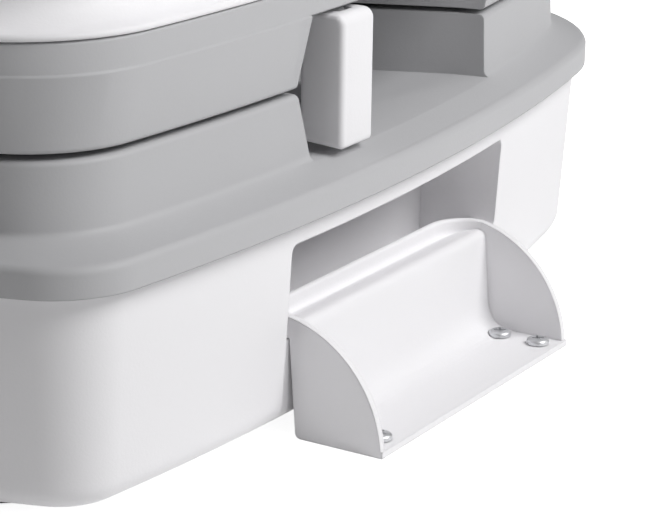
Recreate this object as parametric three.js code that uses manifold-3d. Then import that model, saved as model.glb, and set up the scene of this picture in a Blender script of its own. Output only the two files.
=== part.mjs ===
// Portable toilet: a flush tank with bowl, seat and lid, latched onto a waste tank that two
// floor brackets hold down. Millimetres, +Z up, the front faces -Y, the floor is at Z = 0.
import * as THREE from 'three';
import { mergeVertices } from 'three/addons/utils/BufferGeometryUtils.js';
import Module from 'manifold-3d';

const wasm = await Module();
wasm.setup();

// Overall size
const overallWidth = 334;
const overallDepth = 382;
const overallHeight = 314;

// Clearances, walls and cuts
const fit = 0.3;
const wall = 3;
const overrun = 2;

// Plan of the flange: four long arcs joined by corner arcs
const sideArcRadius = 832;
const sideCrestY = -44.6;
const frontArcRadius = 410;
const rearArcRadius = 1170;
const frontCornerRadius = 27.4;
const rearCornerRadius = 73.9;

// Waste tank, lower shell
const tankBottomZ = 4.6;
const tankBottomRadius = 8;
const tankTopInset = 3.8;
const tankDraftShare = 0.061;
const footRadius = 12;
const footInset = 52;

// Waste tank, upper shell
const flangeZ = 65.4;
const rimHeight = 8.5;
const rimRadius = 2.4;
const deckZ = 77;
const deckInset = 10.4;
const deckFillet = 1.6;
const seamZ = 97.4;
const seamGap = 1.6;
const seamInset = 13.3;
const seamCornerRadius = 32.2;
const seamEdgeRadius = 1.2;

// Finger pocket in each side of the waste tank
const pocketFrontY = -71.8;
const pocketRearY = 61.4;
const pocketTopZ = 58.6;
const pocketDepth = 40;
const pocketCornerRadius = 2.5;

// Recess for hand and latch in each side of both tanks
const recessFrontY = -51;
const recessDepth = 63;
const recessInnerY = 49;
const recessBendInset = 29;
const recessBendY = 63.3;
const recessCornerInset = 19.5;
const recessCornerY = 65.2;
const recessFrontLean = 5.5;
const recessFrontReturn = 2;
const recessRearLean = 1.5;
const recessTopZ = 119;

// Flush tank, lower shell
const stepZ = 118.8;
const stepInset = 9.9;
const stepDepth = 0.4;
const shellZ = 127;
const shellEdgeInset = 10.6;
const shellEdgeRadius = 1.2;
const shellCornerRadius = 44;
const padRadius = 8;
const padX = 84;
const padY = 70;

// Flush tank, upper shell
const skirtInset = 11.3;
const skirtRadius = 1.4;
const skirtHeight = 2.9;
const skirtFillet = 8;
const waistInset = 21.5;
const waistZ = 172;
const flareDrop = 13.6;
const flareMiddleShare = 0.5;
const flareBulgeShare = 0.3;
const flareInset = 8.5;
const topDrop = 38.4;
const topInset = 7;
const topEdgeRadius = 3.6;

// Bowl
const bowlHalfWidth = 110;
const bowlFrontMargin = 41;
const bowlRearMargin = 109;
const bowlCentreY = -42;
const bowlBulgeShare = 0.55;
const bowlRimWidth = 9;
const bowlRimHeight = 2.5;
const outletRadius = 43;
const outletWall = 2.6;
const outletZ = 97.2;
const outletLength = 12;
const outletSealWidth = 3.4;
const outletSealHeight = 7.6;
const funnelSteps = 6;

// Seat
const seatRise = 4.4;
const seatHeight = 11.5;
const seatSideWidth = 40;
const seatFrontWidth = 32;
const seatRearWidth = 24;
const seatSquareness = 2.3;
const seatHoleInset = 6;
const seatEdgeRadius = 5;
const seatHoleRoundShare = 1 / 3;
const bufferRadius = 6;
const bufferInset = 14;
const bufferTurnShares = [0.25, 0.75, 1.2, 1.8];

// Lid
const lidOverhang = 2;
const lidWall = 2.6;
const lidSideHeight = 9;
const lidCrownInset = 62;
const lidCrownSteps = 5;

// Seat and lid hinge
const hingeInset = 25;
const hingeRise = 22.4;
const hingePinRadius = 4;
const knuckleRadius = 8;
const postWidth = 10;
const earWidth = 10;
const lidEarX = 31;
const hingeGap = 1;
const tongueGap = 12;
const pinCapRadius = 6.5;
const pinCapLength = 2.5;

// Rear corner fittings: filler and pump
const fittingX = 86;
const fittingInset = 58;
const fillerBoreRadius = 21;
const fillerNeckRadius = 25;
const fillerFlangeRadius = 31;
const fillerFlangeHeight = 2;
const fillerNeckHeight = 8;
const fillerNeckDrop = 14;
const capWall = 2.6;
const capGap = 0.6;
const capHeight = 11;
const capRibCount = 12;
const capRibDepth = 1.6;
const capRibWidth = 5;
const pumpWellRadius = 23.5;
const pumpWall = 2.4;
const pumpFlangeRadius = 29;
const pumpFlangeHeight = 2;
const pumpWellDepth = 60;
const buttonRadius = 22.6;
const buttonRise = 7;
const buttonHeight = 22;
const bellowsRadius = 19;
const bellowsNeckRadius = 13;
const bellowsWall = 1.6;
const bellowsFolds = 5;
const foldCrestShare = 0.5;
const pipeRadius = 6;
const pipeBore = 4.2;
const pipeRise = 14;
const pipeClimbShare = 0.5;
const nozzleRadius = 8;
const nozzleDrop = 19.6;
const nozzleReach = 7;
const nozzleLength = 17;

// Level window in the front of the flush tank
const windowX = 92;
const windowWidth = 12;
const windowLowShare = 0.29;
const windowHighShare = 0.8;
const windowDepth = 46;

// Slide valve
const valveRadius = 46;
const valveSideWidth = 9;
const valveFrontInset = 51;
const valveHeight = 12.3;
const bladeHalfWidth = 55;
const bladeThickness = 2.6;
const bladeGap = 0.5;
const valveLidThickness = 3.4;
const valveSealWidth = 3.6;
const valveSealHeight = 2.4;
const valveCornerRadius = 8;
const tongueHalfWidth = 28;
const tongueLength = 12;
const handleHalfWidth = 46;
const handleFrontInset = 3;
const handleBar = 10;
const handleCornerShare = 0.2;
const handleBase = 13;
const handleHeight = 13;
const handleEnd = 14;
const handleGap = 2;
const handleRadius = 9;
const handleRecessMargin = 6;
const handleRecessZ = 79;
const handleRecessTopZ = 115;
const handleRecessRadius = 5;

// Pour-out spout and vent in the rear recess
const rearRecessLeftX = -108;
const rearRecessRightX = 80;
const rearRecessDepth = 67;
const rearRecessTopZ = 123;
const rearRecessRadius = 10;
const spoutX = -75;
const spoutInset = 41;
const spoutZ = 101;
const spoutRadius = 18;
const spoutWall = 2.5;
const spoutReach = 88;
const spoutBend = 2;
const spoutBendSteps = 6;
const spoutDrop = 10;
const spoutRingHeight = 2;
const spoutRingWidth = 3;
const spoutBossWidth = 5;
const spoutBossHeight = 3.4;
const spoutCapLength = 20;
const spoutCapWall = 2.2;
const spoutCapRibCount = 8;
const spoutCapRibDepth = 0.8;
const spoutCapRibWidth = 4;
const spoutSealHeight = 2;
const ventX = 60;
const ventStemRadius = 4.5;
const ventCapRadius = 8;
const ventCapGap = 0.5;
const ventCapHeight = 4;
const ventTravel = 4;
const ventHousingRadius = 11;
const ventHousingHeight = 7;
const ventFloor = 1;
const ventSealHeight = 3;

// Side latch, its pivot and its catch
const latchFrontY = -43.7;
const latchWidth = 17;
const latchInset = 6.5;
const latchThickness = 14.5;
const latchBottomZ = 80;
const latchTopZ = 116.5;
const latchSlope = 0.8;
const latchEdgeRadius = 2;
const latchPivotDepth = 7.5;
const latchPivotZ = 111.5;
const latchPinRadius = 1.5;
const latchPinMargin = 2;
const latchEarWidth = 6;
const latchEarRadius = 4.5;
const latchEarFace = 2;
const latchSlotGap = 0.5;
const latchToeReach = 11;
const latchToeZ = 84;
const latchToeHeight = 4;
const latchToeWidth = 12;
const catchGap = 0.5;
const catchLipSetback = 5;
const catchLipHeight = 4;
const catchReach = 20;
const catchPostWidth = 4;
const catchWidth = 14;

// Hold-down bracket
const bracketFrontY = -66.7;
const bracketLength = 113.2;
const bracketReach = 22.2;
const bracketHeelInset = 6.5;
const bracketPlate = 2;
const bracketWall = 2.3;
const bracketLean = 2.2;
const bracketFaceTopZ = 29.6;
const bracketFootFillet = 9;
const bracketCrownRadius = 2.2;
const lipInset = 20.5;
const lipThickness = 2.3;
const lipFillet = 6;
const lipPlanRadius = 14;
const gussetInset = 15.4;
const gussetCentreZ = -0.7;
const gussetRadius = 37;
const gussetTopSetback = 2;
const heelRadius = 2;

// Bracket screws
const screwMargin = 5.8;
const screwPitch = 13.4;
const screwEndMargin = 8.6;
const screwHeadRadius = 3.5;
const screwHeadHeight = 2.2;
const screwCrownShare = 0.85;
const screwCrownInsetShare = 1 / 3;
const screwShankRadius = 2;
const screwHoleRadius = 2.4;

// Facet counts
const frontSteps = 3;
const cornerSteps = 5;
const sideSteps = 5;
const edgeSteps = 2;
const eggSteps = 30;
const roundSteps = 24;
const smallSteps = 10;
const pipeSteps = 16;
const lipSteps = 4;
const gussetSteps = 12;

const halfWidth = overallWidth / 2;
const halfDepth = overallDepth / 2;
const pocketInnerX = halfWidth - pocketDepth;
const recessInnerX = halfWidth - recessDepth;
const recessBendX = halfWidth - recessBendInset;
const recessCornerX = halfWidth - recessCornerInset;
const topZ = overallHeight - topDrop;
const flareZ = topZ - flareDrop;
const bowlFront = halfDepth + bowlCentreY - bowlFrontMargin;
const bowlRear = halfDepth - bowlCentreY - bowlRearMargin;
const seatZ = topZ + seatRise;
const seatHalfWidth = bowlHalfWidth + seatSideWidth;
const seatFront = bowlFront + seatFrontWidth;
const seatRear = bowlRear + seatRearWidth;
const hingeY = halfDepth - hingeInset;
const hingeZ = topZ + hingeRise;
const tongueY = hingeY - tongueGap;
const fittingY = halfDepth - fittingInset;
const nozzleZ = topZ - nozzleDrop;
const windowLowZ = shellZ + (topZ - shellZ) * windowLowShare;
const windowHighZ = shellZ + (topZ - shellZ) * windowHighShare;
const windowDepthY = windowDepth - halfDepth;
const valveFrontY = valveFrontInset - halfDepth;
const valveHalfWidth = bladeHalfWidth + valveSideWidth;
const handleRecessHalfWidth = bladeHalfWidth + handleRecessMargin;
const handleFrontY = handleFrontInset - halfDepth;
const rearRecessY = halfDepth - rearRecessDepth;
const spoutY = halfDepth - spoutInset;
const latchOuterX = halfWidth - latchInset;
const latchInnerX = latchOuterX - latchThickness;
const latchPivotX = latchOuterX - latchPivotDepth;
const catchLipX = latchInnerX - catchLipSetback;
const catchPostX = latchInnerX - catchReach;
const bracketOuterX = halfWidth + bracketReach;
const bracketHeelX = halfWidth - bracketHeelInset;
const bracketFaceFootX = bracketHeelX + bracketWall;
const bracketFaceTopX = bracketFaceFootX - bracketLean;
const lipOuterX = halfWidth - lipInset;
const gussetCentreX = halfWidth - gussetInset;
const gussetTopX = bracketHeelX - gussetTopSetback;
const lipEndAngle = Math.acos((bracketHeelX - gussetCentreX) / gussetRadius);
const screwOuterX = bracketOuterX - screwMargin;
const screwInnerX = screwOuterX - screwPitch;
const lowerTopZ = seamZ - seamGap / 2;
const upperBottomZ = seamZ + seamGap / 2;
const rearBodyRadius = rearCornerRadius - seamInset;
const valveBottomZ = lowerTopZ - fit - valveHeight;
const bladeTopZ = lowerTopZ - fit - valveLidThickness - bladeGap;
const bladeBottomZ = bladeTopZ - bladeThickness;
const pocketLedgeZ = bracketFaceTopZ + bracketCrownRadius - lipThickness - fit;
const pocketLowerX = bracketFaceTopX - bracketWall - fit;
const lidZ = seatZ + seatHeight + fit;
const seatEarX = lidEarX + earWidth + hingeGap;
const postX = seatEarX + earWidth + hingeGap;

const plan = (x, y) => new THREE.Vector2(x, y);
const mix = (a, b, share) => a + (b - a) * share;

// An arc as points, without its last one
function arc(centre, radius, from, to, steps) {
  const points = [];
  for (let i = 0; i < steps; i += 1) {
    const angle = mix(from, to, i / steps);
    points.push(plan(centre.x + radius * Math.cos(angle), centre.y + radius * Math.sin(angle)));
  }
  return points;
}

const circle = (x, y, radius, steps = roundSteps) => arc(plan(x, y), radius, 0, 2 * Math.PI, steps);

// A rectangle with its four corners rounded, counterclockwise
function roundedRectangle(x0, y0, x1, y1, radius, steps = edgeSteps) {
  const corners = [[x1 - radius, y0 + radius, -0.5], [x1 - radius, y1 - radius, 0],
    [x0 + radius, y1 - radius, 0.5], [x0 + radius, y0 + radius, 1]];
  return corners.flatMap(([x, y, turn]) => {
    const start = turn * Math.PI;
    const corner = arc(plan(x, y), radius, start, start + Math.PI / 2, steps);
    const end = start + Math.PI / 2;
    return [...corner, plan(x + radius * Math.cos(end), y + radius * Math.sin(end))];
  });
}

// The centre of a corner arc that touches two arcs from inside
function cornerCentre(first, firstRadius, second, secondRadius, outward) {
  const span = second.clone().sub(first);
  const length = span.length();
  const along = (firstRadius ** 2 - secondRadius ** 2 + length ** 2) / (2 * length);
  const across = Math.sqrt(firstRadius ** 2 - along ** 2);
  const base = first.clone().addScaledVector(span, along / length);
  const normal = plan(-span.y, span.x).multiplyScalar(across / length);
  const left = base.clone().add(normal);
  const right = base.clone().sub(normal);
  return left.dot(outward) > right.dot(outward) ? left : right;
}

const bearing = (from, to) => Math.atan2(to.y - from.y, to.x - from.x);

// The bowed plan outline, drawn in by an inset, counterclockwise from the front centre
function outline(inset, frontCorner, rearCorner) {
  const sideCentre = plan(halfWidth - sideArcRadius, sideCrestY);
  const frontCentre = plan(0, frontArcRadius - halfDepth);
  const rearCentre = plan(0, halfDepth - rearArcRadius);
  const side = sideArcRadius - inset;
  const front = frontArcRadius - inset;
  const rear = rearArcRadius - inset;
  const turnFront = cornerCentre(
    frontCentre,
    front - frontCorner,
    sideCentre,
    side - frontCorner,
    plan(1, -1),
  );
  const turnRear = cornerCentre(rearCentre, rear - rearCorner, sideCentre, side - rearCorner, plan(1, 1));
  const frontEnd = bearing(frontCentre, turnFront);
  const sideStart = bearing(sideCentre, turnFront);
  const sideEnd = bearing(sideCentre, turnRear);
  const rearStart = bearing(rearCentre, turnRear);
  const half = [
    ...arc(frontCentre, front, -Math.PI / 2, frontEnd, frontSteps),
    ...arc(turnFront, frontCorner, frontEnd, sideStart, cornerSteps),
    ...arc(sideCentre, side, sideStart, sideEnd, sideSteps),
    ...arc(turnRear, rearCorner, sideEnd, rearStart, cornerSteps),
    ...arc(rearCentre, rear, rearStart, Math.PI / 2, frontSteps),
  ];
  const mirrored = half.slice(1).reverse().map((point) => plan(-point.x, point.y));
  return [...half, plan(0, halfDepth - inset), ...mirrored];
}

// An egg: one half width, with its own reach to the front and to the rear
function egg(halfWidth, front, rear, centreY) {
  return arc(plan(0, 0), 1, -Math.PI / 2, 1.5 * Math.PI, eggSteps)
    .map((unit) => plan(halfWidth * unit.x, centreY + (unit.y < 0 ? front : rear) * unit.y));
}

const lift = (points, z) => points.map((point) => new THREE.Vector3(point.x, point.y, z));

function solidOf(geometry) {
  const bare = geometry.clone();
  bare.deleteAttribute('normal');
  bare.deleteAttribute('uv');
  const merged = mergeVertices(bare);
  const triangles = [];
  for (let i = 0; i < merged.index.count; i += 3) {
    const [a, b, c] = [0, 1, 2].map((k) => merged.index.getX(i + k));
    if (a !== b && b !== c && c !== a) {
      triangles.push(a, b, c);
    }
  }
  return new wasm.Manifold(new wasm.Mesh({
    numProp: 3,
    vertProperties: Float32Array.from(merged.attributes.position.array),
    triVerts: Uint32Array.from(triangles),
  }));
}

function geometryOf(solid) {
  const mesh = solid.getMesh();
  const geometry = new THREE.BufferGeometry();
  geometry.setAttribute('position', new THREE.BufferAttribute(Float32Array.from(mesh.vertProperties), 3));
  geometry.setIndex(new THREE.BufferAttribute(Uint32Array.from(mesh.triVerts), 1));
  geometry.computeVertexNormals();
  return geometry;
}

// The two ends of a loft are flat polygons: this triangulates one in its own plane
function capTriangles(ring) {
  const normal = new THREE.Vector3();
  ring.forEach((point, i) => {
    normal.add(point.clone().cross(ring[(i + 1) % ring.length]));
  });
  normal.normalize();
  const across = ring[1].clone().sub(ring[0]).normalize();
  const up = normal.clone().cross(across);
  const flat = ring.map((point) => plan(point.dot(across), point.dot(up)));
  return THREE.ShapeUtils.triangulateShape(flat, []);
}

// A closed solid through rings of equal point count, each counterclockwise about the way it runs
function loft(rings) {
  const count = rings[0].length;
  const last = (rings.length - 1) * count;
  const indices = [];
  for (let ring = 0; ring + 1 < rings.length; ring += 1) {
    for (let i = 0; i < count; i += 1) {
      const a = ring * count + i;
      const b = ring * count + ((i + 1) % count);
      indices.push(a, b, b + count, a, b + count, a + count);
    }
  }
  capTriangles(rings[0]).forEach(([a, b, c]) => indices.push(a, c, b));
  capTriangles(rings[rings.length - 1]).forEach(([a, b, c]) => indices.push(last + a, last + b, last + c));
  const positions = rings.flat().flatMap((point) => [point.x, point.y, point.z]);
  const geometry = new THREE.BufferGeometry();
  geometry.setAttribute('position', new THREE.Float32BufferAttribute(positions, 3));
  geometry.setIndex(indices);
  return solidOf(geometry);
}

const extruded = (points, depth) => new THREE.ExtrudeGeometry(
  new THREE.Shape(points),
  { depth, bevelEnabled: false },
);
const axis = (x, y, z) => new THREE.Vector3(x, y, z);

const prismZ = (points, z0, z1) => solidOf(extruded(points, z1 - z0).translate(0, 0, z0));

// Points are (y, z)
function prismX(points, x0, x1) {
  const turn = new THREE.Matrix4().makeBasis(axis(0, 1, 0), axis(0, 0, 1), axis(1, 0, 0));
  return solidOf(extruded(points, x1 - x0).applyMatrix4(turn).translate(x0, 0, 0));
}

// Points are (x, z)
function prismY(points, y0, y1) {
  const turn = new THREE.Matrix4().makeBasis(axis(1, 0, 0), axis(0, 0, 1), axis(0, -1, 0));
  return solidOf(extruded(points, y1 - y0).applyMatrix4(turn).translate(0, y1, 0));
}

// A turned solid about an upright axis, from a profile of (radius, z) points
function turned(profile, x, y, steps = roundSteps) {
  const points = profile.map(([radius, z]) => plan(radius, z));
  const geometry = new THREE.LatheGeometry(points, steps);
  return solidOf(geometry.rotateX(Math.PI / 2).translate(x, y, 0));
}

const disc = (x, y, radius, z0, z1, steps = roundSteps) => prismZ(circle(x, y, radius, steps), z0, z1);

const ring = (x, y, outer, inner, z0, z1, steps = roundSteps) => disc(x, y, outer, z0, z1, steps)
  .subtract(disc(x, y, inner, z0 - overrun, z1 + overrun, steps));

const block = (x0, y0, z0, x1, y1, z1) => prismZ(
  [plan(x0, y0), plan(x1, y0), plan(x1, y1), plan(x0, y1)],
  z0,
  z1,
);

function mirroredX(solid) {
  const geometry = geometryOf(solid);
  geometry.applyMatrix4(new THREE.Matrix4().makeScale(-1, 1, 1));
  const index = geometry.index.array;
  for (let i = 0; i < index.length; i += 3) {
    [index[i + 1], index[i + 2]] = [index[i + 2], index[i + 1]];
  }
  return solidOf(geometry);
}

const bothSides = (solid) => solid.add(mirroredX(solid));

// Levels (z, inset) that round the edge between a wall and a flat face
function roundedEdge(z, inset, radius, upward) {
  const levels = [];
  for (let i = 0; i <= edgeSteps; i += 1) {
    const angle = (i / edgeSteps) * Math.PI / 2;
    const rise = radius * Math.sin(angle);
    const draw = radius * (1 - Math.cos(angle));
    levels.push(upward ? [z - radius + rise, inset + draw] : [z + radius - rise, inset + draw]);
  }
  return upward ? levels : levels.reverse();
}

const tankInset = (z) => tankTopInset + (flangeZ - z) * tankDraftShare;

// Body of the white lower shell, or its hollow when drawn in by the wall
function wasteLowerBody(draw, bottomZ, topZ0) {
  const levels = [
    ...roundedEdge(bottomZ, tankInset(bottomZ + tankBottomRadius) + draw, tankBottomRadius - draw, false),
    [topZ0, tankInset(topZ0) + draw],
  ];
  return loft(levels.map(([z, inset]) => lift(outline(
    inset,
    frontCornerRadius - inset,
    rearCornerRadius - inset,
  ), z)));
}

// The finger pocket of the +X side, or the block that carries its walls when grown
function sidePocket(grow) {
  const opening = roundedRectangle(
    pocketFrontY - grow,
    -overrun,
    pocketRearY + grow,
    pocketTopZ + grow,
    pocketCornerRadius + grow,
  );
  const deep = roundedRectangle(
    pocketFrontY - grow,
    pocketLedgeZ - grow,
    pocketRearY + grow,
    pocketTopZ + grow,
    pocketCornerRadius + grow,
  );
  return prismX(opening, pocketLowerX - grow, halfWidth + overrun)
    .add(prismX(deep, pocketInnerX - grow, pocketLowerX + overrun));
}

function wasteTankLowerShell() {
  const top = flangeZ - fit;
  const body = wasteLowerBody(0, tankBottomZ, top);
  const hollow = wasteLowerBody(wall, tankBottomZ + wall, top + overrun);
  const pocketWalls = bothSides(sidePocket(wall)).intersect(body);
  return body.subtract(hollow).add(pocketWalls).subtract(bothSides(sidePocket(0)));
}

const lowerCorner = (inset) => mix(frontCornerRadius, seamCornerRadius, inset / seamInset);

const lowerRing = ([z, inset]) => lift(outline(inset, lowerCorner(inset), rearCornerRadius - inset), z);

// Plan of a side recess at a height: a straight front wall, and a rear wall that turns outwards
function recessPlan(frontY, rearShift, grow) {
  const reach = halfWidth + overrun;
  const rearSlope = (recessCornerY - recessBendY) / (recessCornerX - recessBendX);
  const reachY = recessCornerY + rearSlope * (reach - recessCornerX);
  return [
    plan(recessInnerX - grow, frontY - grow),
    plan(reach, frontY - grow),
    plan(reach, reachY + rearShift + grow),
    plan(recessBendX, recessBendY + rearShift + grow),
    plan(recessInnerX - grow, recessInnerY + rearShift + grow),
  ];
}

// The side recess between two heights, front wall leaning from one place to another
function sideRecess(z0, z1, frontY0, frontY1, lean0, lean1, grow) {
  return loft([
    lift(recessPlan(frontY0, lean0, grow), z0),
    lift(recessPlan(frontY1, lean1, grow), z1),
  ]);
}

const lowerSideRecess = (grow) => sideRecess(
  deckZ - grow,
  lowerTopZ + overrun,
  recessFrontY,
  recessFrontY - recessFrontLean,
  -recessRearLean,
  0,
  grow,
);

const upperSideRecess = (grow) => sideRecess(
  upperBottomZ - overrun,
  recessTopZ + grow,
  recessFrontY - recessFrontLean,
  recessFrontY - recessFrontLean + recessFrontReturn,
  0,
  recessRearLean,
  grow,
);

const rearRecess = (z0, z1, grow) => prismZ(roundedRectangle(
  rearRecessLeftX - grow,
  rearRecessY - grow,
  rearRecessRightX + grow,
  halfDepth + rearRecessRadius + overrun,
  rearRecessRadius,
), z0, z1);

const frontRecess = (z0, z1, grow) => prismZ(roundedRectangle(
  -handleRecessHalfWidth - grow,
  -halfDepth - handleRecessRadius - overrun,
  handleRecessHalfWidth + grow,
  valveFrontY + grow,
  handleRecessRadius,
), z0, z1);

const valvePocket = (z0, z1, grow) => prismZ(roundedRectangle(
  -valveHalfWidth - grow,
  valveFrontY - grow,
  valveHalfWidth + grow,
  valveHalfWidth + grow,
  valveCornerRadius,
), z0, z1);

// The catch on each side deck that a latch hooks under
function latchCatch() {
  const middle = latchFrontY + latchWidth / 2;
  const lipZ = latchToeZ + latchToeHeight + catchGap;
  const profile = [
    plan(catchPostX, deckZ - wall / 2),
    plan(catchPostX + catchPostWidth, deckZ - wall / 2),
    plan(catchPostX + catchPostWidth, lipZ),
    plan(catchLipX, lipZ),
    plan(catchLipX, lipZ + catchLipHeight / 2),
    plan(catchLipX - catchLipHeight / 2, lipZ + catchLipHeight),
    plan(catchPostX, lipZ + catchLipHeight),
  ];
  return prismY(profile, middle - catchWidth / 2, middle + catchWidth / 2);
}

function wasteTankUpperShell() {
  const ridgeZ = flangeZ + rimHeight;
  const outside = [
    [flangeZ, 0],
    ...roundedEdge(ridgeZ, 0, rimRadius, true),
    [deckZ - deckFillet / 2, deckInset],
    [deckZ + deckFillet, seamInset - deckFillet / 2],
    ...roundedEdge(lowerTopZ, seamInset, seamEdgeRadius, true),
  ];
  const inside = [
    [flangeZ - overrun, wall],
    [ridgeZ - wall, wall],
    [deckZ - wall, deckInset + wall],
    [lowerTopZ - wall, seamInset + wall],
  ];
  const body = loft(outside.map(lowerRing));
  const hollow = loft(inside.map(lowerRing));
  const high = lowerTopZ + overrun;
  const walls = bothSides(lowerSideRecess(wall))
    .add(rearRecess(deckZ - wall, high, wall))
    .add(frontRecess(handleRecessZ - wall, high, wall))
    .add(valvePocket(valveBottomZ - fit - wall, high, wall + fit))
    .intersect(body);
  const low = deckZ - wall - overrun;
  const bossTop = deckZ + spoutBossHeight;
  const boss = disc(spoutX, spoutY, spoutRadius + spoutBossWidth, deckZ - wall / 2, bossTop);
  return body
    .subtract(hollow)
    .add(walls)
    .subtract(bothSides(lowerSideRecess(0)))
    .subtract(rearRecess(deckZ, high, 0))
    .subtract(frontRecess(handleRecessZ, high, 0))
    .subtract(valvePocket(valveBottomZ - fit, high, fit))
    .add(bothSides(latchCatch()))
    .add(boss)
    .subtract(disc(0, 0, valveRadius, deckZ - wall, lowerTopZ))
    .subtract(disc(spoutX, spoutY, spoutRadius + fit, low, bossTop + overrun))
    .subtract(disc(ventX, spoutY, ventStemRadius + fit, low, deckZ + overrun, smallSteps));
}

const upperCorner = (z) => mix(
  seamCornerRadius,
  shellCornerRadius,
  THREE.MathUtils.clamp((z - seamZ) / (shellZ - seamZ), 0, 1),
);

const upperRing = (draw) => ([z, inset]) => lift(
  outline(inset + draw, upperCorner(z) - draw, rearBodyRadius - draw),
  z,
);

// The ear that a side latch turns on, hanging from the roof of the recess
function latchEar() {
  const middle = latchFrontY + latchWidth / 2;
  const left = latchPivotX - latchEarRadius;
  const rounded = arc(plan(latchPivotX, latchPivotZ), latchEarRadius, Math.PI, 2 * Math.PI, edgeSteps * 2);
  const profile = [
    ...rounded,
    plan(latchPivotX + latchEarRadius, latchPivotZ),
    plan(latchPivotX + latchEarFace, latchPivotZ + latchEarRadius - latchEarFace),
    plan(latchPivotX + latchEarFace, recessTopZ + wall / 2),
    plan(left, recessTopZ + wall / 2),
  ];
  const ear = prismY(profile, middle - latchEarWidth / 2, middle + latchEarWidth / 2);
  const bore = prismY(
    circle(latchPivotX, latchPivotZ, latchPinRadius + fit, smallSteps),
    latchFrontY,
    latchFrontY + latchWidth,
  );
  return ear.subtract(bore);
}

const outletHole = (z0, z1) => {
  const radius = outletRadius + outletWall + outletSealWidth + 2 * fit;
  return disc(0, 0, radius, z0, z1, eggSteps);
};

function flushTankLowerShell() {
  const outside = [
    ...roundedEdge(upperBottomZ, seamInset, seamEdgeRadius, false),
    [stepZ, stepInset],
    [stepZ + stepDepth, stepInset + stepDepth],
    ...roundedEdge(shellZ, shellEdgeInset, shellEdgeRadius, true),
  ];
  const inside = [
    [upperBottomZ + wall, seamInset],
    [stepZ, stepInset],
    [shellZ + overrun, shellEdgeInset],
  ];
  const body = loft(outside.map(upperRing(0)));
  const hollow = loft(inside.map(upperRing(wall)));
  const low = upperBottomZ - overrun;
  const walls = bothSides(upperSideRecess(wall))
    .add(rearRecess(low, rearRecessTopZ + wall, wall))
    .add(frontRecess(low, handleRecessTopZ + wall, wall))
    .intersect(body);
  const pads = [-1, 1].flatMap((x) => [-1, 1].map((y) => disc(
    x * padX,
    y * padY,
    padRadius,
    lowerTopZ + fit,
    upperBottomZ + wall / 2,
    smallSteps,
  )));
  const shell = body
    .subtract(hollow)
    .add(walls)
    .subtract(bothSides(upperSideRecess(0)))
    .subtract(rearRecess(low, rearRecessTopZ, 0))
    .subtract(frontRecess(low, handleRecessTopZ, 0))
    .subtract(outletHole(low, upperBottomZ + 2 * wall))
    .add(bothSides(latchEar()));
  return pads.reduce((sum, pad) => sum.add(pad), shell);
}

const flareMiddle = () => [
  mix(waistZ, flareZ, flareMiddleShare),
  mix(waistInset, flareInset, flareBulgeShare),
];

// The outer surface of the white shell, from its flared skirt up to the top edge
function flushUpperLevels() {
  const skirtTop = shellZ + fit + skirtHeight;
  const levels = [
    ...roundedEdge(shellZ + fit, skirtInset, skirtRadius, false),
    ...roundedEdge(skirtTop, skirtInset, skirtRadius, true),
  ];
  for (let i = 1; i <= edgeSteps; i += 1) {
    const angle = (i / edgeSteps) * Math.PI / 2;
    levels.push([
      skirtTop + skirtFillet * (1 - Math.cos(angle)),
      waistInset - skirtFillet * (1 - Math.sin(angle)),
    ]);
  }
  return [
    ...levels,
    [waistZ, waistInset],
    flareMiddle(),
    [flareZ, flareInset],
    ...roundedEdge(topZ, topInset, topEdgeRadius, true),
  ];
}

const flushUpperBody = () => loft(flushUpperLevels().map(upperRing(0)));

function flushUpperHollow() {
  return loft([
    [shellZ - overrun, waistInset],
    [waistZ, waistInset],
    flareMiddle(),
    [flareZ, flareInset],
    [topZ - wall, topInset + topEdgeRadius / 2],
  ].map(upperRing(wall)));
}

// A hinge post on the deck, or an ear of the same form, between two X places
function knuckle(x0, x1, footY0, footY1, footZ) {
  const round = arc(plan(hingeY, hingeZ), knuckleRadius, 0, Math.PI, edgeSteps * 2);
  return prismX([
    plan(footY0, footZ),
    plan(footY1, footZ),
    ...round,
    plan(hingeY - knuckleRadius, hingeZ),
  ], x0, x1);
}

const hingeBore = () => prismX(
  circle(hingeY, hingeZ, hingePinRadius + fit, smallSteps),
  -halfWidth,
  halfWidth,
);

const windowPlan = (grow) => roundedRectangle(
  windowX - windowWidth / 2 - grow,
  windowLowZ - grow,
  windowX + windowWidth / 2 + grow,
  windowHighZ + grow,
  windowWidth / 2 + grow - fit / 2,
);

function flushTankUpperShell() {
  const high = topZ + overrun;
  const low = topZ - 2 * wall;
  const post = knuckle(
    postX,
    postX + postWidth,
    hingeY - knuckleRadius,
    hingeY + knuckleRadius,
    topZ - wall / 2,
  );
  const bowlWidth = wall + fit;
  const bowlHole = prismZ(egg(
    bowlHalfWidth + bowlWidth,
    bowlFront + bowlWidth,
    bowlRear + bowlWidth,
    bowlCentreY,
  ), low, high);
  return flushUpperBody()
    .subtract(flushUpperHollow())
    .subtract(bowlHole)
    .subtract(disc(-fittingX, fittingY, fillerNeckRadius + fit, low, high))
    .subtract(disc(fittingX, fittingY, pumpWellRadius + pumpWall + fit, low, high))
    .subtract(prismY(windowPlan(fit), -halfDepth, windowDepthY))
    .add(bothSides(post))
    .subtract(hingeBore());
}

const levelWindow = () => flushUpperBody()
  .intersect(prismY(windowPlan(0), -halfDepth, windowDepthY))
  .subtract(flushUpperHollow());

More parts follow.
